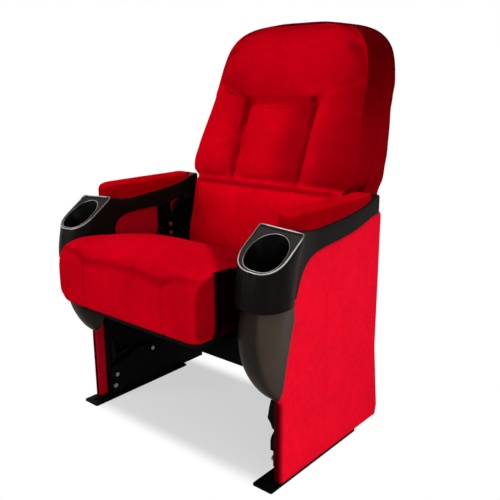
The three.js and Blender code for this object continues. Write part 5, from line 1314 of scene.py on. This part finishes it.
# Arm pads
armPads = {
    "topZ": 598.0, "frontSetback": 7.0, "rearSetback": 12.0, "sideSetback": 2.0,
    "innerFlare": 6.0, "edgeRadius": 15.0, "lowerRadius": 2.0, "endRadius": 28.0, "endReach": 42.0,
    "swell": 4.0, "seamHeight": 0.52, "seamDepth": 0.7, "hang": 20.0, "sideShadeTone": 0.66,
}
padEndAlong = [0, 0.1, 0.4, 1.0, 1.8]
padEndFull = [0.34, 0.6, 0.83, 0.96, 1.0]


def padRings():
    # rounded sections along the rail, smaller towards both ends, where
    # half width = full sqrt(1 - (1 - e / r)^2) at e from the end
    sizes = armPads
    frontY, rearY = ridgeY + sizes["frontSetback"], railRearY - sizes["rearSetback"]
    reach = sizes["endReach"]
    near = 0.5 + (reach - 0.5) * np.linspace(0, 1, 16) ** 1.8
    straight = np.linspace(frontY + reach, rearY - reach, 40)[1:-1]
    y = np.concatenate([frontY + near, straight, rearY - near[::-1]])
    away = np.minimum(y - frontY, rearY - y)
    full = smoothTable(away / sizes["edgeRadius"], padEndAlong, padEndFull)
    plan = np.sqrt(1 - (1 - np.clip(away / sizes["endRadius"], 0, 1)) ** 2)
    armIn, armOut = armSides(y)
    x0 = np.maximum(armIn, arms["railInnerX"] - sizes["innerFlare"]) + sizes["sideSetback"]
    x1 = np.minimum(armOut, arms["railOuterX"]) - sizes["sideSetback"]
    middle, half = (x0 + x1) / 2, (x1 - x0) / 2 * plan
    z0 = armTopZ(y) + gap
    return sectionRings(y, middle - half, middle + half, z0, mix(z0, sizes["topZ"], full),
                        sizes["edgeRadius"] * full, sizes["lowerRadius"], steps=6, flat=7)


def overhung(points):
    # towards the rear the inner flank hangs over the rail, most at its foot
    x, y, z = points.T
    down = np.clip((armPads["topZ"] - z) / (armPads["topZ"] - armTopZ(y)), 0, 1)
    rear = (x < arms["railInnerX"] - gap) * ease((y - ridgeY) / drawing["armLength"], 0.5, 1.0)
    points[:, 2] = z - armPads["hang"] * rear * down ** 2
    return points


def armPad(name):
    sizes = armPads
    obj = newPiece(name, *loftParts(padRings()), [finish["padVelour"]])
    sunk(obj, sizes["swell"] * 0.5 * (normalsOf(obj)[:, 2] > -0.5))
    points = pointsOf(obj)
    puffed(obj, ease(armTopZ(points[:, 1]) + 7 - points[:, 2], 0, 4), sizes["swell"])
    subdivided(obj)
    points, normals = surfaceOf(obj)
    seam = hump(points[:, 2] - mix(armTopZ(points[:, 1]), sizes["topZ"], sizes["seamHeight"]), 3.0)
    seam = seam * ease(0.85 - np.abs(normals[:, 2]), 0, 0.3) * ease(points[:, 1] - ridgeY, 30, 60)
    setPoints(obj, overhung(points - normals * (sizes["seamDepth"] * seam)[:, None]))
    # painted shade: the pad's upright sides darker than its top
    toneOf(obj, mix(1.0, sizes["sideShadeTone"], ease(0.8 - np.abs(normals[:, 2]), 0, 0.4)))
    shaded(obj, 70)
    return tilted(obj)


rightPad = armPad("arm_rest_cloth_right")
settlePair(rightPad, mirroredPiece(rightPad, "arm_rest_cloth_left"), "arm_pad")
print("arm pads made")


# Return springs
springs = {
    "x": 262.0, "y": -16.46, "bottomZ": 196.3, "topZ": 415.97, "endLength": 30.0, "turns": 14,
    "extra": 10.0, "radius": 9.5, "wire": 1.7, "stepsPerTurn": 20, "keep": 0.68,
}


def returnSpring(name):
    # a helix whose radius grows from nothing over its first and last half turn
    sizes = springs
    low, high = sizes["bottomZ"] + sizes["endLength"], sizes["topZ"] - sizes["endLength"]
    extra = sizes["extra"]
    coiled = np.linspace(low - extra, high + extra, sizes["turns"] * sizes["stepsPerTurn"] + 20)
    z = np.concatenate([[sizes["bottomZ"], low - extra - 8], coiled, [high + extra + 8, sizes["topZ"]]])
    turn = (z - low) / (high - low) * sizes["turns"] * 2 * np.pi
    radius = sizes["radius"] * ease(z, low - extra, low) * (1 - ease(z, high, high + extra))
    radial = np.stack([np.cos(turn), np.sin(turn), np.zeros(len(z))], 1)
    path = np.array([sizes["x"], sizes["y"], 0.0]) + radial * radius[:, None]
    path[:, 2] = z
    return newPiece(name, *tubeAlong(path, sizes["wire"], radial, sides=8), [finish["springSteel"]])


rightSpring = returnSpring("coil_spring_right")
leftSpring = mirroredPiece(rightSpring, "coil_spring_left")
settlePair(rightSpring, leftSpring, "return_spring")
for spring, x in ((rightSpring, springs["x"]), (leftSpring, -springs["x"])):
    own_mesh(spring)
print("springs made")


# Camera, light and floor
camera = {"position": (1067.85, -1178.92, 851.27), "yaw": 40.3, "pitch": 14.7, "roll": -0.29, "lens": 46.499}
yaw, pitch = np.radians(camera["yaw"]), np.radians(camera["pitch"])
ahead = Vector((-np.sin(yaw) * np.cos(pitch), np.cos(yaw) * np.cos(pitch), -np.sin(pitch)))
cameraData = bpy.data.cameras.new("camera")
cameraData.lens, cameraData.sensor_width = camera["lens"], 36.0
cameraData.clip_end = 50
cameraObject = bpy.data.objects.new("camera", cameraData)
scene.collection.objects.link(cameraObject)
rolled = Matrix.Rotation(np.radians(camera["roll"]), 4, "Z")
turned = ahead.to_track_quat("-Z", "Y").to_matrix().to_4x4() @ rolled
cameraObject.matrix_world = Matrix.Translation(Vector(toMetres([camera["position"]])[0])) @ turned
scene.camera = cameraObject

lamps = {
    # place in metres, size in metres, power in watts
    "overhead": ((-0.3, -0.5, 3.0), 2.6, 37.0),
    "frontLeft": ((-2.0, -2.9, 1.7), 1.8, 40.0),
    "right": ((3.2, -1.3, 1.4), 2.0, 46.0),
}
lampAim = Vector((0.0, 0.0, 0.45))
for name, (place, size, power) in lamps.items():
    lampData = bpy.data.lights.new(name, "AREA")
    lampData.shape, lampData.size, lampData.energy = "DISK", size, power
    lamp = bpy.data.objects.new(name, lampData)
    lamp.location = place
    lamp.rotation_euler = (lampAim - Vector(place)).to_track_quat("-Z", "Y").to_euler()
    scene.collection.objects.link(lamp)


def seenRays(nodes, links):
    # 1 for what the camera sees straight, in a gloss or through a clear piece
    path = nodes.new("ShaderNodeLightPath")
    total = path.outputs["Is Camera Ray"]
    for output in ("Is Glossy Ray", "Is Transmission Ray"):
        either = nodes.new("ShaderNodeMath")
        either.operation = "MAXIMUM"
        links.new(total, either.inputs[0])
        links.new(path.outputs[output], either.inputs[1])
        total = either.outputs["Value"]
    return total


studio = {"onObject": 0.36, "whereSeen": 1.0}   # strength of the white world
world = bpy.data.worlds.new("studio")
scene.world = world
world.use_nodes = True
worldNodes, worldLinks = world.node_tree.nodes, world.node_tree.links
level = worldNodes.new("ShaderNodeMapRange")
level.inputs["To Min"].default_value = studio["onObject"]
level.inputs["To Max"].default_value = studio["whereSeen"]
worldLinks.new(seenRays(worldNodes, worldLinks), level.inputs["Value"])
worldLinks.new(level.outputs["Result"], worldNodes["Background"].inputs["Strength"])
worldNodes["Background"].inputs["Color"].default_value = (1, 1, 1, 1)

# Floor: white, with a painted soft grey shadow under the seat that keeps a share of the real one
ground = {
    "paint": 0.9, "shadowX": (-300.0, 275.0), "shadowFront": -224.0, "shadowRear": 139.0,
    "soft": 60.0, "sideSoft": 30.0, "glow": 0.745, "painted": 0.22, "hole": 0.02, "plateMargin": 4.0,
    "radius": 12.0, "drop": 0.0003,   # in metres
}
floorMesh = bpy.data.meshes.new("floor")
angle = np.linspace(0, 2 * np.pi, 64, endpoint=False)
ring = np.stack([np.cos(angle), np.sin(angle)], 1) * ground["radius"]
ring = np.column_stack([ring, np.full(len(angle), -ground["drop"])])
floorMesh.from_pydata(ring.tolist(), [], [list(range(len(angle)))])
floor = bpy.data.objects.new("floor", floorMesh)
scene.collection.objects.link(floor)
floorMaterial, nodes, links, shader = newMaterial("floor_white")
nodes.remove(shader)


def soften(value, low, high):
    # 0 below low and 1 above high, smoothly
    span = nodes.new("ShaderNodeMapRange")
    span.interpolation_type = "SMOOTHSTEP"
    span.inputs["From Min"].default_value, span.inputs["From Max"].default_value = low, high
    links.new(value, span.inputs["Value"])
    return span.outputs["Result"]


def combine(operation, first, second):
    both = nodes.new("ShaderNodeMath")
    both.operation = operation
    for socket, value in zip(both.inputs, (first, second)):
        if isinstance(value, float):
            socket.default_value = value
        else:
            links.new(value, socket)
    return both.outputs["Value"]


def blendShaders(share, first, second):
    blend = nodes.new("ShaderNodeMixShader")
    if isinstance(share, float):
        blend.inputs["Fac"].default_value = share
    else:
        links.new(share, blend.inputs["Fac"])
    links.new(first, blend.inputs[1])
    links.new(second, blend.inputs[2])
    return blend.outputs["Shader"]


def glowing(strength):
    glow = nodes.new("ShaderNodeEmission")
    glow.inputs["Strength"].default_value = strength
    return glow.outputs["Emission"]


def softWithin(axis, low, high, soft):
    # 1 between low and high, with a soft step across each
    return combine("MULTIPLY", soften(axis, low - soft, low + soft),
                   combine("SUBTRACT", 1.0, soften(axis, high - soft, high + soft)))


def hardWithin(axis, low, high, margin):
    return combine("MULTIPLY", combine("GREATER_THAN", axis, low + margin),
                   combine("LESS_THAN", axis, high - margin))


place = nodes.new("ShaderNodeTexCoord")
axes = nodes.new("ShaderNodeSeparateXYZ")
links.new(place.outputs["Object"], axes.inputs["Vector"])
lowX, highX = [value / 1000 for value in ground["shadowX"]]
frontY, rearY = [float(toMetres([(0, ground[key], 0)])[0][1]) for key in ("shadowFront", "shadowRear")]
inside = combine("MULTIPLY", softWithin(axes.outputs["X"], lowX, highX, ground["sideSoft"] / 2000),
                 softWithin(axes.outputs["Y"], frontY, rearY, ground["soft"] / 2000))
paint = nodes.new("ShaderNodeBsdfDiffuse")
paint.inputs["Color"].default_value = (ground["paint"],) * 3 + (1,)
shadow = blendShaders(ground["painted"], glowing(ground["glow"]), paint.outputs["BSDF"])
seenFloor = blendShaders(inside, glowing(1.0), shadow)
# painted shade: the floor under the foot plates is dark, as no light would come through the fixing holes
low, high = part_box("foot_plate_right")
dark = nodes.new("ShaderNodeBsdfDiffuse")
dark.inputs["Color"].default_value = (ground["hole"],) * 3 + (1,)
footX = combine("ABSOLUTE", axes.outputs["X"], 0.0)
margin = ground["plateMargin"] / 1000
under = combine("MULTIPLY", hardWithin(footX, float(low.x), float(high.x), margin),
                hardWithin(axes.outputs["Y"], float(low.y), float(high.y), margin))
seenFloor = blendShaders(under, seenFloor, dark.outputs["BSDF"])
whole = blendShaders(seenRays(nodes, links), paint.outputs["BSDF"], seenFloor)
links.new(whole, nodes["Material Output"].inputs["Surface"])
floorMesh.materials.append(floorMaterial)
scene.view_settings.view_transform = "Standard"
print("camera, lamps and floor set")
